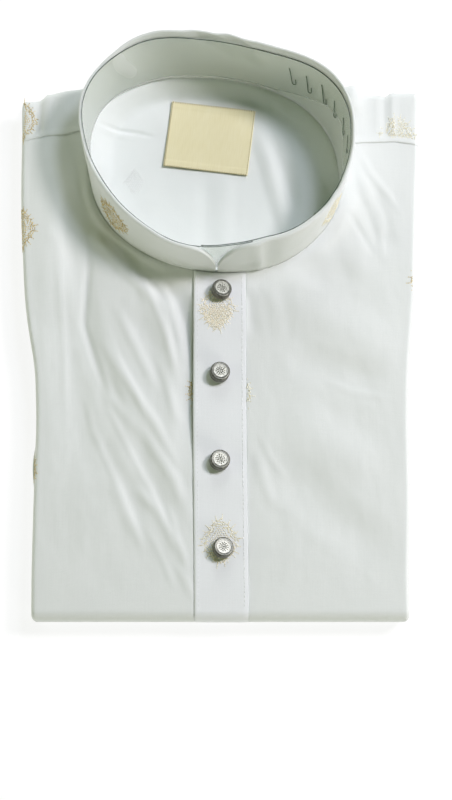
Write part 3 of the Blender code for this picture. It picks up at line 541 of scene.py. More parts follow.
class Shade:
    """A socket in a material. Sums on it add the Math nodes that work them out."""

    def __init__(self, tree, socket=None):
        self.tree = tree
        self.socket = socket

    def node(self, kind, settings, inputs, output=0):
        """Adds a node: its settings first, then the values or links of its sockets."""
        made = self.tree.nodes.new(kind)
        for key, value in settings.items():
            setattr(made, key, value)
        for key, value in inputs.items():
            if isinstance(value, Shade):
                self.tree.links.new(value.socket, made.inputs[key])
            else:
                made.inputs[key].default_value = value
        return Shade(self.tree, made.outputs[output])

    def math(self, operation, first, second=0.0):
        return self.node("ShaderNodeMath", {"operation": operation}, {0: first, 1: second})

    def sine(self):
        return self.math("SINE", self)

    def __add__(self, other):
        return self.math("ADD", self, other)

    def __radd__(self, other):
        return self.math("ADD", other, self)

    def __sub__(self, other):
        return self.math("SUBTRACT", self, other)

    def __rsub__(self, other):
        return self.math("SUBTRACT", other, self)

    def __mul__(self, other):
        return self.math("MULTIPLY", self, other)

    def __rmul__(self, other):
        return self.math("MULTIPLY", other, self)

    def tint(self, dark, light):
        """Colour between two colours, by this value."""
        colors = {0: self, 6: (*dark, 1.0), 7: (*light, 1.0)}
        return self.node("ShaderNodeMix", {"data_type": "RGBA"}, colors, 2)

    def noise(self, scale, detail):
        """Cloudy noise over these coordinates."""
        settings = {"Vector": self, "Scale": scale, "Detail": detail}
        return self.node("ShaderNodeTexNoise", {}, settings)

    def bump(self, strength):
        """This value as the height of a surface whose threads stand 0.2 mm high."""
        height = {"Strength": strength, "Distance": 0.2 * MM, "Height": self}
        return self.node("ShaderNodeBump", {}, height)

    def into(self, socket):
        self.tree.links.new(self.socket, socket)


OBJECT = 3           # the output of a Texture Coordinate node that is in the piece's own space
THREAD_STEP = 0.42


def new_finish(name, even):
    """A new material with the values that are even all over it, its Principled shader's
    sockets, and a start for its nodes."""
    finish = bpy.data.materials.new(name)
    finish.use_nodes = True
    tree = finish.node_tree
    shader = tree.nodes["Principled BSDF"].inputs
    for key, value in even.items():
        shader[key].default_value = value
    return finish, shader, Shade(tree)


def cotton(name, dark, light):
    """Plain-weave cotton: fine threads, uneven slubs along them, and a soft surface."""
    even = {"Sheen Weight": 0.25, "Sheen Roughness": 0.45, "Specular IOR Level": 0.3}
    finish, shader, start = new_finish(name, even)
    place = start.node("ShaderNodeUVMap", {"uv_map": "cloth"}, {})
    across = start.node("ShaderNodeSeparateXYZ", {}, {0: place}, 0)
    along = start.node("ShaderNodeSeparateXYZ", {}, {0: place}, 1)
    count = 2 * pi / (THREAD_STEP * MM)
    weave = (across * count).sine() * (along * count).sine()
    warp = start.node("ShaderNodeMapping", {}, {"Vector": place, "Scale": (1.0, 0.08, 1.0)})
    weft = start.node("ShaderNodeMapping", {}, {"Vector": place, "Scale": (0.08, 1.0, 1.0)})
    slubs = warp.noise(900.0, 2.0)
    picks = weft.noise(1100.0, 2.0)
    soft = place.noise(28.0, 3.0)
    height = weave * 0.25 + slubs + picks
    tone = soft * 0.6 + slubs * 0.25 + picks * 0.25 - 0.05
    tone.tint(dark, light).into(shader["Base Color"])
    (soft * 0.12 + 0.74).into(shader["Roughness"])
    height.bump(0.22).into(shader["Normal"])
    return finish


def thread(name, dark, light, roughness=0.55, metal=0.0):
    """Sewing or metallic thread, uneven in tone along its run."""
    even = {"Roughness": roughness, "Metallic": metal}
    finish, shader, start = new_finish(name, even)
    place = start.node("ShaderNodeTexCoord", {}, {}, OBJECT)
    tone = place.noise(900.0, 1.0)
    (tone * 2.2 - 0.6).tint(dark, light).into(shader["Base Color"])
    return finish


white_cotton = cotton("white_cotton", (0.735, 0.757, 0.74), (0.805, 0.82, 0.805))


def sheet_columns(flat):
    """Columns of a sheet with those of both side folds added, and their angles there."""
    angles = np.linspace(0.0, SIDE_TURN, 9)[1:]
    columns = np.concatenate([-FLAT_HALF - angles[::-1], flat, FLAT_HALF + angles])
    return columns, np.where(on_side_fold(columns), np.abs(columns) - FLAT_HALF, 0.0)


# Closer columns beside the placket let the cloth step down under it.
flat = np.arange(-FLAT_HALF, FLAT_HALF + 0.5, 1.8)
flat = np.sort(np.concatenate([flat, [-18.2, -17.4, -16.9, 15.7, 16.2, 17.0]]))
flat = flat[np.concatenate([[True], np.diff(flat) > 0.15])]
columns, angles = sheet_columns(flat)
starts = seam_line(columns)
front_grid = [front_point(columns, angles, starts + (BEND_Y - starts) * v)
              for v in np.linspace(0.0, 1.0, 156)]
front_grid += [front_point(columns, angles, BEND_Y, bend, bend / 180.0)
               for bend in np.linspace(0.0, 180.0, 17)[1:]]
front_grid += [front_point(columns, angles, y, 180.0, 1.0)
               for y in np.linspace(BEND_Y, HEM_OPEN_Y, 36)[1:]]
front_grid += [front_point(columns, angles, y, 180.0, 1.0, smooth(y, HEM_OPEN_Y, HEM_FOLD_Y))
               for y in np.linspace(HEM_OPEN_Y, HEM_FOLD_Y, 7)[1:]]
front_grid += [hem_point(columns, angles, bend) for bend in np.linspace(0.0, 165.0, 8)[1:]]
front_grid, front_kept = cut_neck(np.asarray(front_grid))
front_panel = sheet_mesh("front_panel", front_grid, kept=front_kept)
thicken(front_panel, PLY)
make_up(front_panel, "cotton", white_cotton, "front")

# ---- back panel --------------------------------------------------------------
# The back's own cloth comes over the shoulders to the two shoulder seams, and turns
# under at the shoulder fold. Inside the neck its wrong side shows, rising to the
# neck seam. It is the same white cotton as the front.
CORNER_SHARE = 0.45  # how far the side folds still drop where they meet the shoulder fold
BACK_INSET = 7.5
BACK_UNDER = 20.0
SEAM_LAP = 0.45


def shoulder_relief(x, y):
    return crease_relief(x, y, SHOULDER_CREASES) + 0.3 * ripple(x, y, 24.0, 5.0)


def back_point(column, angle, share):
    """Points of the back by share of its run, from the seams over the fold to its end."""
    side = np.sign(column)
    on_side = on_side_fold(column)
    start = seam_line(column) - 0.6
    flat_x = spread(np.clip(column, -FLAT_HALF, FLAT_HALF), start)
    start_x = np.where(on_side, side_fold(start, side, 0.0)[0], flat_x)
    fold = top_line(start_x, "fold") - TOP_RADIUS
    run = np.maximum(fold - start, 0.0)
    first = np.degrees(np.arcsin(np.clip((start - fold) / TOP_RADIUS, 0.0, 1.0)))
    round_run = TOP_RADIUS * np.radians(180.0 - first)
    past = np.clip(share * (run + round_run + BACK_UNDER) - run - round_run, 0.0, None)
    s = np.minimum(share * (run + round_run + BACK_UNDER), run + round_run)
    y = np.minimum(start + s, np.maximum(start, fold))
    bend = first + np.degrees(np.maximum(s - run, 0.0) / TOP_RADIUS)
    opened = smooth(bend, 90.0, 170.0)
    side_x, side_depth = side_fold(start, side, angle, opened)
    eased = smooth(y, start, np.maximum(fold, start + 1))
    side_depth = side_depth * (1 - (1 - CORNER_SHARE) * eased)
    x = np.where(on_side, side_x, start_x)
    depth = np.where(on_side, side_depth, 0.0)
    a = np.radians(bend)
    lap = SEAM_LAP * (1 - smooth(s, 1.5, 5.0))
    creased = shoulder_relief(x, y) * smooth(s, 0.0, 7.0) * np.cos(a / 2) ** 2
    relief = np.where(on_side, 0.0, creased + lap)
    on_flat = s < run
    radius = TOP_RADIUS - depth + relief
    around_y = np.where(on_flat, y, fold + radius * np.sin(a))
    around_z = PACK_HEIGHT - TOP_RADIUS + radius * np.cos(a)
    pulled_in = BACK_INSET * smooth(past, 0.0, 8.0)
    x = np.where(past > 0, x * (1 - pulled_in / half_width(start, x)), x)
    z = np.where(on_flat, PACK_HEIGHT + relief - depth, around_z)
    return np.stack([x, around_y - past, z], axis=-1)


columns, angles = sheet_columns(np.arange(-FLAT_HALF, FLAT_HALF + 1.0, 2.25))
back_grid = [back_point(columns, angles, share) for share in np.linspace(1.0, 0.0, 60)]
back_grid, back_kept = cut_neck(np.asarray(back_grid))
back_panel = sheet_mesh("back_panel", back_grid, kept=back_kept)
thicken(back_panel, PLY)
make_up(back_panel, "cotton", white_cotton, "back")

INSIDE_Z = 12.2
UNDER_FRONT_Z = 18.4


def ring_grid(count):
    """Share of the way out (0 to 1) and turn over a disc, on a square grid without a pole."""
    u, v = np.meshgrid(np.linspace(-1.0, 1.0, count), np.linspace(1.0, -1.0, count))
    u = np.where(np.abs(u) < 1e-9, 1e-9, u)
    v = np.where(np.abs(v) < 1e-9, 1e-9, v)
    wide = np.abs(u) > np.abs(v)
    out = np.where(wide, u, v)
    angle = np.where(wide, pi / 4 * v / u, pi / 2 - pi / 4 * u / v)
    angle = np.where(out < 0, angle + pi, angle)
    return np.abs(out), np.degrees(np.arctan2(-np.cos(angle), -np.sin(angle))) % 360.0


INSIDE_CREASES = [
    Crease([(-10, 108), (-9.8, 92), (-9.7, 60), (-9.5, 44)], 5, -0.7),
    Crease([(3, 106), (2.7, 92), (2.7, 60), (3, 44)], 5, 0.6),
    Crease([(22, 140), (27.7, 118), (34, 95), (40, 72), (44, 56)], 5, 1.7),
    Crease([(40, 116), (43, 95), (47, 76)], 4, -0.9),
    Crease([(52, 128), (60, 104), (62, 84), (58, 64)], 7, -0.7),
    Crease([(28, 148), (44, 141), (60, 128), (68, 112)], 6, 1.0),
    Crease([(-84, 132), (-77, 133), (-60, 130), (-52, 129), (-40, 126)], 1.3, -1.0),
    Crease([(-86, 129), (-76, 130), (-60, 127), (-50, 126)], 2.2, 0.6),
    Crease([(-62, 108), (-58, 84), (-48, 66)], 8, -0.6),
]


def inside_relief(x, y):
    return crease_relief(x, y, INSIDE_CREASES) + 0.35 * ripple(x, y, 30.0, 21.0)


# Behind, the cloth climbs to the neck seam. In front it runs on under the front panel.
share, turn = ring_grid(115)
behind = 1 - smooth(np.abs(turn - 180.0), 84.0, 112.0)
reach = 1.17 - 0.165 * behind
edge_x, edge_y = ring_point(NECK, turn)
inside_x = NECK.x + (edge_x - NECK.x) * share * reach
inside_y = NECK.y + (edge_y - NECK.y) * share * reach
climb = smooth(share, 0.80, 1.0) * behind
seam_z = neck_height(edge_x, edge_y) - 0.2
under_front = (UNDER_FRONT_Z - INSIDE_Z) * smooth(share * reach, 0.99, 1.13) * (1 - behind)
inside_z = INSIDE_Z + (seam_z - INSIDE_Z) * climb + under_front
inside_z = inside_z + inside_relief(inside_x, inside_y) * smooth(1 - share, 0.0, 0.15)
back_inside = sheet_mesh("back_inside", np.stack([inside_x, inside_y, inside_z], axis=-1))
thicken(back_inside, PLY)
# Lighter than the front's cotton though it is the same cloth: painted light on the inside of the
# back, down among the collar's walls.
inside_lit_cotton = cotton("inside_lit_cotton", (0.82, 0.855, 0.83), (0.88, 0.90, 0.88))
make_up(back_inside, "cotton", inside_lit_cotton)

# ---- folded layers -----------------------------------------------------------
# Sleeves, side panels and the lower body lie folded inside the pack, ply on ply.
# Their folds show at its edges, and bulge out a little on the left.
Layer = namedtuple("Layer", "z inset bulge")
LAYERS = [
    Layer(z=15.6, inset=2.9, bulge=0.4),
    Layer(z=13.4, inset=1.7, bulge=2.8),
    Layer(z=11.3, inset=2.4, bulge=4.6),
    Layer(z=9.2, inset=1.4, bulge=4.0),
    Layer(z=7.0, inset=2.7, bulge=0.4),
]
LAYER_HALF = 0.93
LOW_TOP = 9.4        # height of the top layer, and the step to the next, where they sink
LOW_STEP = 1.75
BULGE_Y = (-112.0, -52.0)


def layer_section(layer, y, number):
    """Closed outline of a folded layer at y: across its top, round the fold, and back.
    Its edges lie at its own height, and its middle sinks under the neck and the back."""
    half = LAYER_HALF * float(np.interp(y, [-168.0, -158.0, 138.0, 149.0], [0.5, 1.0, 1.0, 0.7]))
    lift = 0.12 * sin(y / 23.0 + 2.1 * number)
    ends = []
    for side in (-1, 1):
        swell = sin(pi * float(smooth(y, *BULGE_Y))) if side < 0 else 0.0
        wave = 0.5 * sin(y / 17.0 + 1.7 * number + side)
        ends.append(float(half_width(y, side)) - layer.inset + layer.bulge * swell + wave)
    left, right = ends
    flat = np.linspace(-left + half, right - half, 24)
    turns = np.radians(np.linspace(90.0, -90.0, 7))[1:-1]
    over = [(x, half) for x in flat]
    round_right = [(right - half + half * cos(a), half * sin(a)) for a in turns]
    under = [(x, -half) for x in flat[::-1]]
    round_left = [(-left + half - half * cos(a), -half * sin(a)) for a in turns]
    low = LOW_TOP - LOW_STEP * number
    far = float(smooth(y, -10.0, 14.0))
    points = []
    for x, z in over + round_right + under + round_left:
        from_edge = float(smooth(min(x + left, right - x), 4.0, 32.0))
        sunk = max(from_edge * far, float(smooth(y, 96.0, 122.0)))
        points.append((x, y, layer.z + lift + (low - layer.z - lift) * sunk + z))
    return points


def close_ends(obj):
    """Fills the open ends of a round sheet, and turns its faces outwards."""
    bm = bmesh.new()
    bm.from_mesh(obj.data)
    bmesh.ops.holes_fill(bm, edges=[e for e in bm.edges if e.is_boundary])
    bmesh.ops.recalc_face_normals(bm, faces=bm.faces)
    bm.to_mesh(obj.data)
    bm.free()


# Darker than the front's cotton though it is the same cloth: painted shade on the folded layers,
# which show in the slots at the pack's edges.
inner_cotton = cotton("inner_cotton", (0.66, 0.685, 0.66), (0.73, 0.745, 0.73))
for number, layer in enumerate(LAYERS):
    first = 171.0 - 1.1 * abs(layer.z - HALF_HEIGHT)
    stations = np.concatenate([[-first - 0.6], np.linspace(-first, 148.0, 112), [148.8]])
    loops = [layer_section(layer, y, number) for y in stations]
    plies = sheet_mesh(f"folded_layer_{number + 1}", loops, round_it=True)
    close_ends(plies)
    make_up(plies, "inner_cotton", inner_cotton, "folded_layers")

# ---- collar band -------------------------------------------------------------
# A standing band of the same cotton, faced and interlined, sewn to the neck seam.
# Its rounded ends leave a V near the centre front.
COLLAR_TOP = Ring(-0.4, 108.7, half_width=80.6, half_depth=64.2, shear=-0.15, power=2.3, pull="top")
BAND_WALL = 1.8
BAND_GAP = 0.1
OPENING_TURN = 6.0
BAND_HEIGHT_BACK = 38.5
BAND_HEIGHT_FRONT = 33.0
BAND_RISE = [
    (0, 1.5), (30, 2.5), (60, 1.5), (80, 0.0), (100, -0.5), (130, -0.5), (150, 3.0), (165, 4.5),
    (180, 4.0), (200, 5.0), (240, 4.0), (260, 2.0), (280, 1.0), (300, 1.5), (330, 2.0), (360, 1.5),
]
BAND_ALONG = 1.3     # length of the band for each degree round it
# Creases of the band: how far round it, by that measure, and how high above the seam.
BAND_CREASES = [
    Crease([(452, -14), (455, 2), (459, 32), (461, 48)], 2.4, 0.9),
    Crease([(448, -10), (449, 12), (451, 40)], 4.5, -0.5),
    Crease([(455, 10), (461, 9), (467, 6)], 3.4, -1.0),
    Crease([(4, 3), (14, 6), (30, 6), (48, 5)], 4.0, -0.8),
    Crease([(214, 56), (226, 45), (240, 35), (256, 25)], 3.0, 4.4),
    Crease([(226, 58), (238, 46), (254, 34), (270, 20)], 3.2, 4.8),
    Crease([(180, 44), (186, 24), (196, 6)], 6, -0.7),
    Crease([(140, 40), (150, 20), (152, 4)], 6, 0.6),
    Crease([(96, 34), (84, 18), (74, 6)], 5, -0.5),
    Crease([(390, 40), (398, 20), (404, 2)], 5, -0.6),
]


def band_point(turn, level, grow=0.0):
    """Point of the band at a turn and a height above the seam, up the band's slope."""
    base = ring_point(NECK, turn, grow)
    top = ring_point(COLLAR_TOP, turn, grow)
    floor = neck_height(*ring_point(NECK, turn)) + BAND_GAP
    share = level / BAND_HEIGHT_BACK
    return np.stack([base[0] + (top[0] - base[0]) * share, base[1] + (top[1] - base[1]) * share,
                     floor + level], axis=-1)


def strip_top(turn):
    """Height of the clear strip's top edge above the neck seam."""
    behind = smooth(180.0 - np.abs(180.0 - turn % 360.0), 20.0, 120.0)
    return BAND_HEIGHT_FRONT + (BAND_HEIGHT_BACK - BAND_HEIGHT_FRONT) * behind - 1.5


def band_height(turn):
    """Height of the band's top edge: it stands above or below the strip inside it."""
    rise = np.interp(turn, *zip(*BAND_RISE))
    x, y = ring_point(NECK, turn)
    centre_x, centre_y = ring_point(NECK, OPENING_TURN)
    corner = np.where((turn > OPENING_TURN) & (turn < 180), 15.0, 20.0)
    inside = np.clip(1 - np.hypot(x - centre_x, y - centre_y) / corner, 0.0, 1.0)
    return (strip_top(turn) + rise) * np.maximum(np.sqrt(1 - inside ** 2), 0.12)


def band_relief(turn, level):
    """How far the band's creases push its wall out, less at its top edge."""
    along, level = np.broadcast_arrays(turn * BAND_ALONG, level)
    creased = crease_relief(along, level, BAND_CREASES) + 0.3 * ripple(along, level, 26.0, 31.0)
    return creased * (1 - 0.75 * smooth(level, 33.0, 42.0))


def band_side(turn):
    """Outer face of the band, measured out from its ring: thicker towards the front."""
    return 0.55 + 1.0 * smooth(np.abs(turn - 180.0), 60.0, 150.0)


def band_wall(turn, level, grow):
    """Point of the band at a distance out from its ring, with its creases."""
    return band_point(turn, level, grow + band_relief(turn, level) * smooth(level, 0.0, 5.0))


def on_band(turn, level):
    """Points on the band's outer face."""
    return band_wall(turn, level, band_side(turn))


# Darker than the front's cotton though it is the same cloth: painted shade on the collar band.
faced_cotton = cotton("faced_cotton", (0.70, 0.725, 0.705), (0.76, 0.775, 0.76))
near_end = np.array([0.4, 0.8, 1.4, 2.2, 3.2, 4.4, 5.8, 7.4, 9.2, 11.2, 13.4])
turns = np.concatenate([near_end, np.linspace(15.5, 344.5, 230), 360.0 - near_end[::-1]])
turns = (OPENING_TURN + turns) % 360.0
tall = band_height(turns)
out = band_side(turns)
half_wall = (out + BAND_WALL / 2) / 2
middle = out - half_wall
section = []
for share in np.linspace(0.0, 1.0, 18):
    level = (tall - half_wall) * share
    section.append((level, out))
for a in np.radians(np.linspace(0.0, 180.0, 9))[1:-1]:
    section.append((tall - half_wall + half_wall * sin(a), middle + half_wall * cos(a)))
for share in np.linspace(1.0, 0.0, 14):
    section.append(((tall - half_wall) * share, np.full(len(turns), -BAND_WALL / 2)))
section = [band_wall(turns, level, grow) for level, grow in section]
collar_band = sheet_mesh("collar_band_cloth", np.stack(section, axis=1), round_it=True)
close_ends(collar_band)
make_up(collar_band, "faced_cotton", faced_cotton, "collar_band")

# ---- clear strip -------------------------------------------------------------
# A strip of clear film holds the collar round inside its band. Its ends lap behind
# the V, and six narrow tongues are cut through it on the right of the back.
STRIP_WALL = 0.4
STRIP_COLUMNS = 300
# The strip's top rows are painted dark, painted shade standing in for the dark look of its cut
# edge, and its foot rows are painted pale, a painted highlight along its lower edge.
PAINTED_SHADE_EDGE = 0.35      # how much of its top looks dark, and of its foot looks pale
PAINTED_HIGHLIGHT_FOOT = 0.7
STRIP_FOOT = [
    (0, 1), (140, 1), (165, 3), (205, 3), (214, 3.5), (225, 8), (233, 11.5), (245, 19), (255, 22),
    (275, 14), (300, 2), (360, 1),
]
Tongue = namedtuple("Tongue", "top_turn top foot_turn foot")
TONGUES = [
    Tongue(218, 28, 221, 17), Tongue(227, 27.5, 230, 17.5), Tongue(236, 28.5, 240, 19),
    Tongue(246, 27, 249, 19.5), Tongue(256, 27.5, 260, 22), Tongue(266, 29.5, 270, 26.5),
]
TONGUE_TURN = 2.2


def film(name, color, alpha):
    """Clear plastic film, faintly clouded."""
    even = {"Base Color": (*color, 1.0), "Alpha": alpha}
    finish, shader, start = new_finish(name, even)
    place = start.node("ShaderNodeTexCoord", {}, {}, OBJECT)
    cloud = place.noise(40.0, 2.0)
    (cloud * 0.12 + 0.05).into(shader["Roughness"])
    return finish


def strip_point(turn, level, inward=0.0):
    """Points of the strip, inside the band. Its right end laps in over the left one."""
    inset = BAND_WALL / 2 + 0.35 + STRIP_WALL / 2 + inward
    lap = (STRIP_WALL + 0.4) * smooth(turn, 335.0, 352.0)
    ring = band_point(turn, level, 0.0)
    return ring + (band_point(turn, level, -1.0) - ring) * np.reshape(inset + lap, (-1, 1))


turns = np.linspace(OPENING_TURN - 12.0, OPENING_TURN + 366.0, STRIP_COLUMNS)
foot = np.interp(turns % 360.0, *zip(*STRIP_FOOT))
head = strip_top(turns)
clear = head - PAINTED_SHADE_EDGE - foot - PAINTED_HIGHLIGHT_FOOT
levels = [head, head - PAINTED_SHADE_EDGE]
levels += [foot + PAINTED_HIGHLIGHT_FOOT + clear * v for v in np.linspace(1, 0, 8)[1:]] + [foot]
clear_strip = sheet_mesh("clear_strip", [strip_point(turns, level) for level in levels])
# Besides the clear film: painted shade along the cut top edge, and a painted highlight along the
# foot.
clear_strip.data.materials.append(film("clear_film", (0.80, 0.88, 0.80), 0.14))
clear_strip.data.materials.append(film("film_painted_edge_shade", (0.05, 0.08, 0.07), 0.9))
clear_strip.data.materials.append(film("film_painted_foot_highlight", (0.90, 0.93, 0.90), 0.3))
for face in clear_strip.data.polygons:
    row = face.index // (STRIP_COLUMNS - 1)
    if row == 0:
        face.material_index = 1
    elif row == len(levels) - 2:
        face.material_index = 2
thicken(clear_strip, STRIP_WALL, 0.0)
make_up(clear_strip, "clear_plastic", None, "collar_support")

# The cut round each tongue goes down, round its foot and a little way up again.
cuts = []
down = np.linspace(0.0, 1.0, 5)
around = np.radians([45, 90, 135, 180])
up = np.array([0.15, 0.3])
for t in TONGUES:
    turns = np.concatenate([
        t.top_turn + (t.foot_turn - t.top_turn) * down,
        t.foot_turn + TONGUE_TURN / 2 - TONGUE_TURN / 2 * np.cos(around),
        t.foot_turn + TONGUE_TURN + (t.top_turn - t.foot_turn) * up,
    ])
    levels = np.concatenate([
        t.top + (t.foot - t.top) * down,
        t.foot - 1.4 * np.sin(around),
        t.foot + (t.top - t.foot) * up,
    ])
    cuts.append(strip_point(turns, levels, STRIP_WALL / 2))
# Each cut is drawn as a dark cord: painted shade standing in for the dark look of the cut's edges
# in the film.
strip_tongues = cords("strip_tongues", cuts, 0.27)
make_up(strip_tongues, "clear_plastic", film("tongue_cut_painted_shade", (0.16, 0.21, 0.16), 0.9))

# ---- placket -----------------------------------------------------------------
# A doubled strip of the same cotton, sewn over the slit of the front from the collar
# down over the bottom fold. Its left edge stands free, its right edge is stitched.
PLACKET_WALL = 1.7
PLACKET_LIFT = 0.6
BUTTON_YS = [24.6, -26.4, -79.6, -131.3]


def placket_wave(across, y):
    """Unevenness of the placket's face, drawn in a little at each button."""
    pulls = sum(np.exp(-((y - button_y) / 9.0) ** 2) for button_y in BUTTON_YS)
    return 0.12 * np.sin(y / 5.2 + across * 0.03) + 0.22 * np.sin(y / 17.0 + 1.0) - 0.25 * pulls


def placket_point(across, y, bend, lift):
    """Points of the placket's top face: down the front, round the fold and underneath."""
    y = np.broadcast_to(y, across.shape)
    depth = BED_TOP + (BED_UNDER - BED_TOP) * bend / 180.0
    drop = 0.45 * (1 - smooth(across - PLACKET_LEFT, 0.0, 0.9))
    drop = drop + 0.32 * (1 - smooth(PLACKET_RIGHT - across, 0.0, 2.6))
    ridge = 0.2 * np.exp(-((across - PLACKET_LEFT - 1.4) / 1.0) ** 2)
    wave = placket_wave(across, y) + ridge if bend == 0 else 0.0
    radius = HALF_HEIGHT - depth + PLACKET_WALL + lift + wave - drop
    return round_bottom(across + placket_lean(y), y, radius, bend)


# Lighter than the front's cotton though it is the same cloth: painted light on the placket. Its
# faint blue tint is the placket's own.
bluish_lit_placket_cotton = cotton("bluish_lit_placket_cotton", (0.80, 0.815, 0.825), (0.86, 0.87, 0.885))
across = np.concatenate([
    [PLACKET_LEFT, PLACKET_LEFT + 0.3, PLACKET_LEFT + 0.8],
    np.linspace(PLACKET_LEFT + 1.4, PLACKET_RIGHT - 1.4, 27),
    [PLACKET_RIGHT - 0.8, PLACKET_RIGHT - 0.3, PLACKET_RIGHT],
])
arc_x, arc_y = ring_point(NECK, np.linspace(30.0, -30.0, 61) % 360.0)
starts = np.interp(across, arc_x, arc_y) - 1.9
placket_grid = [placket_point(across, starts + (BEND_Y - starts) * v, 0.0, PLACKET_LIFT)
                for v in np.linspace(0.0, 1.0, 130)]
placket_grid += [placket_point(across, BEND_Y, bend, PLACKET_LIFT - 0.2 * bend / 180)
                 for bend in np.linspace(0.0, 180.0, 17)[1:]]
placket_grid += [placket_point(across, y, 180.0, PLACKET_LIFT - 0.2)
                 for y in np.linspace(BEND_Y, PLACKET_END_Y, 20)[1:]]
placket_cloth = sheet_mesh("placket_cloth", placket_grid)
thicken(placket_cloth, PLACKET_WALL)
make_up(placket_cloth, "faced_cotton", bluish_lit_placket_cotton, "placket")


def on_placket(x, y):
    """Points on the placket's face."""
    x, y = np.broadcast_arrays(np.asarray(x, float), np.asarray(y, float))
    return np.stack([x + placket_lean(y), y, PACK_HEIGHT + 1.0 + placket_wave(x, y)], axis=-1)


# ---- stitches ----------------------------------------------------------------
# Lines of short white stitches: down both edges of the placket, along the shoulder
# seams and round the collar's foot.
STITCH = 2.2
STITCH_STEP = 2.7
FOOT_ALONG = 1.25    # length of the collar's foot for each degree round it


def stitch_line(across, along, place):
    """Short threads end to end along a line of points on a surface."""
    points = np.stack(np.broadcast_arrays(across, along), axis=1)
    runs = np.concatenate([[0.0], np.cumsum(np.linalg.norm(np.diff(points, axis=0), axis=1))])
    threads = []
    for first in np.arange(0.3, runs[-1] - STITCH, STITCH_STEP):
        spots = first + STITCH * np.array([0.0, 0.5, 1.0])
        spot = place(np.interp(spots, runs, points[:, 0]), np.interp(spots, runs, points[:, 1]))
        spot[:, 2] += np.array([-0.05, 0.05, -0.05])
        threads.append(spot)
    return threads


def lay_threads(name, paths, radius, slot, finish):
    """One piece of all the threads, each along its path."""
    make_up(cords(name, paths, radius, 4), slot, finish)


white_thread = thread("white_thread", (0.60, 0.62, 0.60), (0.84, 0.85, 0.84))
down = np.linspace(34.0, BEND_Y, 30)
lines = stitch_line(PLACKET_LEFT + 2.4, down, on_placket)
lines += stitch_line(PLACKET_RIGHT - 2.2, down, on_placket)
lay_threads("placket_stitches", lines, 0.17, "faced_cotton", white_thread)

lines = []
for seam_x in (np.linspace(-116.0, -84.0, 20), np.linspace(78.0, 116.0, 20)):
    seam_y = top_line(seam_x * TOP_LINES[-1].x / FLAT_HALF, "seam") + 1.6
    lines += stitch_line(seam_x, seam_y, on_front)
lay_threads("shoulder_stitches", lines, 0.15, "cotton", white_thread)

foot = (OPENING_TURN + np.linspace(4.0, 356.0, 200)) * FOOT_ALONG
lines = stitch_line(foot, 2.2, lambda along, level: on_band(along / FOOT_ALONG % 360.0, level))
lay_threads("band_stitches", lines, 0.15, "faced_cotton", white_thread)

# ---- motifs ------------------------------------------------------------------
# Woven lozenges in golden and pale thread, scattered over the cloth: a wide border of
# slanting stitches, a flower of short dashes inside, and sprigs standing out all round.
MOTIF_WIDTH = 20.0
MOTIF_HEIGHT = 25.0


def motif(seed, kept=None):
    """Short threads of one motif, as pairs of points about its centre."""
    rng = random.Random(seed)
    threads = []

    def stitch(u, v, lean, length):
        if kept is None or kept(u, v):
            du, dv = cos(lean) * length / 2, sin(lean) * length / 2
            threads.append([(u - du, v - dv), (u, v), (u + du, v + dv)])

    def border(t, size):
        r = size * (abs(cos(t)) ** 1.3 + abs(sin(t)) ** 1.3) ** (-1 / 1.3)
        return MOTIF_WIDTH / 2 * r * cos(t), MOTIF_HEIGHT / 2 * r * sin(t)

    for size, count in ((1.0, 52), (0.90, 46), (0.79, 40)):
        for k in range(count):
            t = 2 * pi * (k + rng.uniform(-0.4, 0.4)) / count
            u, v = border(t, size + rng.uniform(-0.05, 0.05))
            stitch(u, v, t + rng.choice((0.9, -0.7, 1.5)), rng.uniform(1.0, 2.0))
    for row in range(-9, 10):
        for column in range(-7, 8):
            u, v = column * 1.45 + (row % 2) * 0.72 + rng.uniform(-0.2, 0.2), row * 1.2
            if abs(u) / (MOTIF_WIDTH * 0.37) + abs(v) / (MOTIF_HEIGHT * 0.37) < 1.0:
                stitch(u, v, rng.choice((0.4, -0.4, 1.3)), rng.uniform(0.9, 1.5))
    for k in range(20):
        t = 2 * pi * (k + rng.uniform(0.3, 0.7)) / 20
        u, v = border(t, 1.0)
        run = rng.uniform(1.0, 2.6)
        stitch(u + cos(t) * run / 2, v + sin(t) * run / 2, t, run)
        stitch(u + cos(t) * (run + 0.7), v + sin(t) * (run + 0.7), t + pi / 2, 0.6)
    return threads


# A motif on a surface: its centre, its seed, which part of it is there (all of it
# where kept is None), its size, and how far it is turned.
Motif = namedtuple("Motif", "u v seed kept size turned", defaults=[None, 1.0, 0.0])


def lay_motifs(name, radius, slot, finish, place, motifs):
    """One piece of all the threads of some motifs, laid on a surface."""
    paths = []
    for m in motifs:
        for threads in motif(m.seed, m.kept):
            points = np.asarray(threads) * m.size
            u = points[:, 0] * cos(m.turned) - points[:, 1] * sin(m.turned)
            v = points[:, 0] * sin(m.turned) + points[:, 1] * cos(m.turned)
            spot = place(m.u + u, m.v + v)
            spot[:, 2] += 0.08
            paths.append(spot)
    lay_threads(name, paths, radius, slot, finish)


def on_band_side(along, level):
    """Points on the band's outside, by millimetres round it and up it."""
    return on_band(along / BAND_ALONG, level)


def on_inside(x, y):
    """Points on the inside of the back, seen through the neck."""
    return np.stack([x, y, INSIDE_Z + 0.02 + inside_relief(x, y)], axis=-1)


gold_thread = thread("gold_thread", (0.44, 0.31, 0.10), (0.90, 0.75, 0.38), 0.4, 0.1)
pale_thread = thread("pale_thread", (0.74, 0.66, 0.44), (1.0, 0.97, 0.83), 0.45, 0.0)
cream_thread = thread("cream_thread", (0.88, 0.79, 0.60), (1.0, 0.97, 0.86), 0.45, 0.0)
silver_thread = thread("silver_thread", (0.74, 0.68, 0.46), (1.0, 1.0, 0.93), 0.35, 0.0)
inside_white = thread("inside_white_thread", (0.96, 0.97, 0.96), (1.0, 1.0, 1.0))

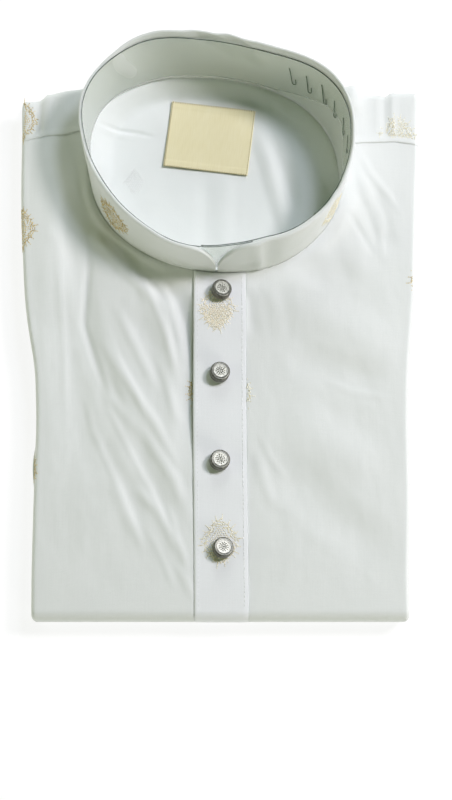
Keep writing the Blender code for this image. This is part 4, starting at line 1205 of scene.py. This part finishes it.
lay_motifs("edge_motifs", 0.2, "cotton", gold_thread, on_front, [
    Motif(-124.5, 133.5, 3, lambda u, v: u > 0),
    Motif(-124.0, 64.0, 5, lambda u, v: u > -4),
    Motif(-121.0, -84.0, 7, lambda u, v: u > 4),
    Motif(126.0, 31.0, 9, lambda u, v: u < -8.8),
    Motif(-9.5, -36.6, 11, lambda u, v: u < -7.4),
])
lay_motifs("shoulder_motif", 0.28, "cotton", silver_thread, on_front, [
    Motif(109.5, 122.5, 13, lambda u, v: v > -1.0, 1.1),
    Motif(109.0, 123.5, 14, lambda u, v: v > -1.5, 0.85),
    Motif(8.5, -38.5, 15, lambda u, v: u > 7.4),
])
lay_motifs("placket_top_motif", 0.26, "faced_cotton", cream_thread, on_placket, [
    Motif(-2.2, 13.5, 17, lambda u, v: v < 10.5, 1.05),
    Motif(-2.2, 11.5, 18, lambda u, v: v < 5.0, 0.82),
    Motif(-2.2, 10.5, 20, lambda u, v: v < 6.0, 0.55),
])
lay_motifs("placket_motif", 0.24, "faced_cotton", pale_thread, on_placket, [
    Motif(-0.8, -127.5, 19, None, 1.05),
])
lay_motifs("collar_motif", 0.24, "faced_cotton", gold_thread, on_band_side, [
    Motif(58 * BAND_ALONG, 15.0, 21, lambda u, v: abs(v) < 13, 1.05, pi / 2),
])
lay_motifs("collar_pale_motif", 0.2, "faced_cotton", pale_thread, on_band_side, [
    Motif(302 * BAND_ALONG, 16.0, 23, lambda u, v: abs(v) < 13, 1.05, pi / 2),
    Motif(243 * BAND_ALONG, 26.0, 25, lambda u, v: v < 10),
])
lay_motifs("inside_motif", 0.16, "cotton", inside_white, on_inside, [
    Motif(-53.5, 97.2, 27, lambda u, v: abs(u) / 7.4 + abs(v) / 9.3 < 1.0, 0.95),
])

# ---- buttons -----------------------------------------------------------------
# Four turned metal buttons with a dark rim, a bright ring and a flower of small beads
# inside it, sewn through a shank and fastened, so that each leans a little.
BUTTON_RADIUS = 6.0
BUTTON_HEIGHT = 4.2
BUTTON_FOOT = 23.2
SHANK_RADIUS = 1.8
SHANK_HEIGHT = 1.7
RIM_BEVEL = 0.9
FACE_REACH = 4.26
Bead = namedtuple("Bead", "reach turn radius")
BEADS = [Bead(0.0, 0.0, 0.62)]
BEADS += [Bead(1.45, 45.0 * k, 0.52) for k in range(8)]
BEADS += [Bead(2.6, 22.5 + 30.0 * k, 0.42) for k in range(12)]
Leaning = namedtuple("Leaning", "x lean")
BUTTONS = [Leaning(0.62, 19.0), Leaning(-0.35, 16.0), Leaning(-0.35, 16.0), Leaning(1.59, 18.0)]


def metal(name, dark, light, roughness):
    """Old metal, darker where the polish has not reached."""
    finish, shader, start = new_finish(name, {"Metallic": 0.75})
    place = start.node("ShaderNodeTexCoord", {}, {}, OBJECT)
    worn = place.noise(700.0, 3.0)
    (worn * 2.0 - 0.5).tint(dark, light).into(shader["Base Color"])
    (worn * 0.25 + roughness).into(shader["Roughness"])
    return finish


def select_faces(mesh, wanted):
    """Selects the faces of a mesh in edit mode that pass a test."""
    bm = bmesh.from_edit_mesh(mesh)
    for face in bm.faces:
        face.select = wanted(face)
    bm.select_flush_mode()
    bmesh.update_edit_mesh(mesh)


bpy.ops.object.select_all(action="DESELECT")
bpy.ops.mesh.primitive_cylinder_add(
    vertices=56, radius=BUTTON_RADIUS * MM, depth=BUTTON_HEIGHT * MM)
button = bpy.context.object
button.name = "button_model"
dark_metal = metal("dark_pewter", (0.05, 0.05, 0.04), (0.20, 0.20, 0.165), 0.26)
bright_metal = metal("bright_pewter", (0.24, 0.24, 0.20), (0.66, 0.66, 0.58), 0.36)
bead_metal = metal("bead_pewter", (0.07, 0.07, 0.055), (0.50, 0.50, 0.44), 0.32)
button.data.materials.append(dark_metal)
button.data.materials.append(bright_metal)
bpy.ops.object.mode_set(mode="EDIT")
bm = bmesh.from_edit_mesh(button.data)
for edge in bm.edges:
    edge.select = edge.verts[0].co.z > 0.0005 and edge.verts[1].co.z > 0.0005
bmesh.update_edit_mesh(button.data)
bpy.ops.mesh.bevel(offset=RIM_BEVEL * MM, segments=4, profile=0.6)
# The flat top is turned down to a step, a ring that stands up, and a sunk plate.
select_faces(button.data, lambda face: face.normal.z > 0.99 and face.calc_area() > 2e-5)
for width, rise in ((0.75, -0.10), (0.15, 0.30), (0.40, 0.0), (0.14, -0.28)):
    bpy.ops.mesh.inset(thickness=width * MM, depth=rise * MM)
select_faces(button.data, lambda face: face.calc_center_median().z > 0.001
             and max(v.co.xy.length for v in face.verts) < FACE_REACH * MM)
button.active_material_index = 1
bpy.ops.object.material_slot_assign()
bpy.ops.object.mode_set(mode="OBJECT")
plate_z = min(v.co.z for v in button.data.vertices if v.co.xy.length < 3.8 * MM and v.co.z > 0)
bpy.ops.mesh.primitive_cylinder_add(
    vertices=24, radius=SHANK_RADIUS * MM, depth=SHANK_HEIGHT * MM,
    location=(0.0, 0.0, -(BUTTON_HEIGHT / 2 + 0.7) * MM))
shank = bpy.context.object
shank.data.materials.append(dark_metal)
parts = [button, shank]
for bead in BEADS:
    turn = radians(bead.turn)
    bpy.ops.mesh.primitive_uv_sphere_add(
        segments=10, ring_count=6, radius=bead.radius * MM,
        location=(bead.reach * cos(turn) * MM, bead.reach * sin(turn) * MM, plate_z))
    made = bpy.context.object
    made.scale = (1.25, 0.85, 0.7)
    made.rotation_euler = (0.0, 0.0, turn)
    bpy.ops.object.transform_apply(location=False, rotation=True, scale=True)
    made.data.materials.append(bead_metal)
    parts.append(made)
bpy.ops.object.select_all(action="DESELECT")
for part in parts:
    part.select_set(True)
bpy.context.view_layer.objects.active = button
bpy.ops.object.join()
bpy.ops.object.shade_smooth_by_angle(angle=radians(40.0))
for number, (place, y) in enumerate(zip(BUTTONS, BUTTON_YS), start=1):
    bpy.ops.object.select_all(action="DESELECT")
    button.select_set(True)
    bpy.context.view_layer.objects.active = button
    bpy.ops.object.duplicate()
    made = bpy.context.object
    made.name = f"pewter_button_{number}"
    middle = Vector((place.x, y, BUTTON_FOOT + BUTTON_HEIGHT / 2 + 0.9)) * MM
    tilt = Matrix.Rotation(radians(place.lean), 4, Vector((-0.75, 0.66, 0.0)))
    turned = Matrix.Rotation(radians(37.0 * number), 4, "Z")
    made.data.transform(Matrix.Translation(middle) @ tilt @ turned)
    make_up(made, "pewter", None, f"button_{number}")
bpy.data.objects.remove(button)

# ---- label -------------------------------------------------------------------
# A plain woven tape of cream satin with turned edges, oversewn along its top and
# bottom and stitched down its sides. It lies flat inside the back.
LABEL_WIDTH = 53.0
LABEL_HEIGHT = 42.5
LABEL_TURN = -7.0
LABEL_CENTRE = (-7.0, 125.2)
label_satin, satin, start = new_finish("label_satin", {"Roughness": 0.42, "Sheen Weight": 0.2})
place = start.node("ShaderNodeUVMap", {"uv_map": "cloth"}, {})
down = start.node("ShaderNodeSeparateXYZ", {}, {0: place}, 1)
ribs = (down * 9000.0).sine()
warp_place = start.node("ShaderNodeMapping", {}, {"Vector": place, "Scale": (1.0, 0.05, 1.0)})
warps = warp_place.noise(1800.0, 2.0)
clouds = place.noise(60.0, 2.0)
tone = warps * 0.7 + clouds * 0.5 - 0.1
tone.tint((0.84, 0.75, 0.43), (0.97, 0.90, 0.63)).into(satin["Base Color"])
(ribs + warps).bump(0.25).into(satin["Normal"])


def on_label(right, up):
    """Points on the label's face, by the way across it and up it from its centre."""
    a = radians(LABEL_TURN)
    x = LABEL_CENTRE[0] + right * cos(a) - up * sin(a)
    y = LABEL_CENTRE[1] + right * sin(a) + up * cos(a)
    turned_edge = 0.22 * smooth(np.abs(up), LABEL_HEIGHT / 2 - 4.2, LABEL_HEIGHT / 2 - 3.8)
    bow = 0.35 * np.sin(right / 9.0 + 0.6) * (up / LABEL_HEIGHT)
    return np.stack([x, y, INSIDE_Z + 1.25 + turned_edge + bow], axis=-1)


right, up = np.meshgrid(np.linspace(-LABEL_WIDTH / 2, LABEL_WIDTH / 2, 50),
                        np.linspace(LABEL_HEIGHT / 2, -LABEL_HEIGHT / 2, 60))
label_tape = sheet_mesh("label_tape", on_label(right, up))
thicken(label_tape, 0.5)
make_up(label_tape, "label_tape", label_satin, "label")

ochre_thread = thread("ochre_thread", (0.26, 0.19, 0.07), (0.50, 0.40, 0.18))
oversewing = []
for side in (1, -1):
    for x in np.arange(-LABEL_WIDTH / 2 + 0.8, LABEL_WIDTH / 2 - 0.6, 1.5):
        u = np.array([x, x + 0.15, x + 0.3])
        v = side * (LABEL_HEIGHT / 2 + np.array([0.45, 0.0, -0.8]))
        spot = on_label(u, v)
        spot[:, 2] += np.array([-0.3, 0.12, 0.05])
        oversewing.append(spot)
for side in (1, -1):
    for y in np.arange(-LABEL_HEIGHT / 2 + 1.2, LABEL_HEIGHT / 2 - 1.2, 1.7):
        spot = on_label(side * (LABEL_WIDTH / 2 - np.full(3, 0.7)), np.array([y, y + 0.5, y + 1.0]))
        spot[:, 2] += 0.08
        oversewing.append(spot)
lay_threads("label_stitches", oversewing, 0.2, "label_tape", ochre_thread)
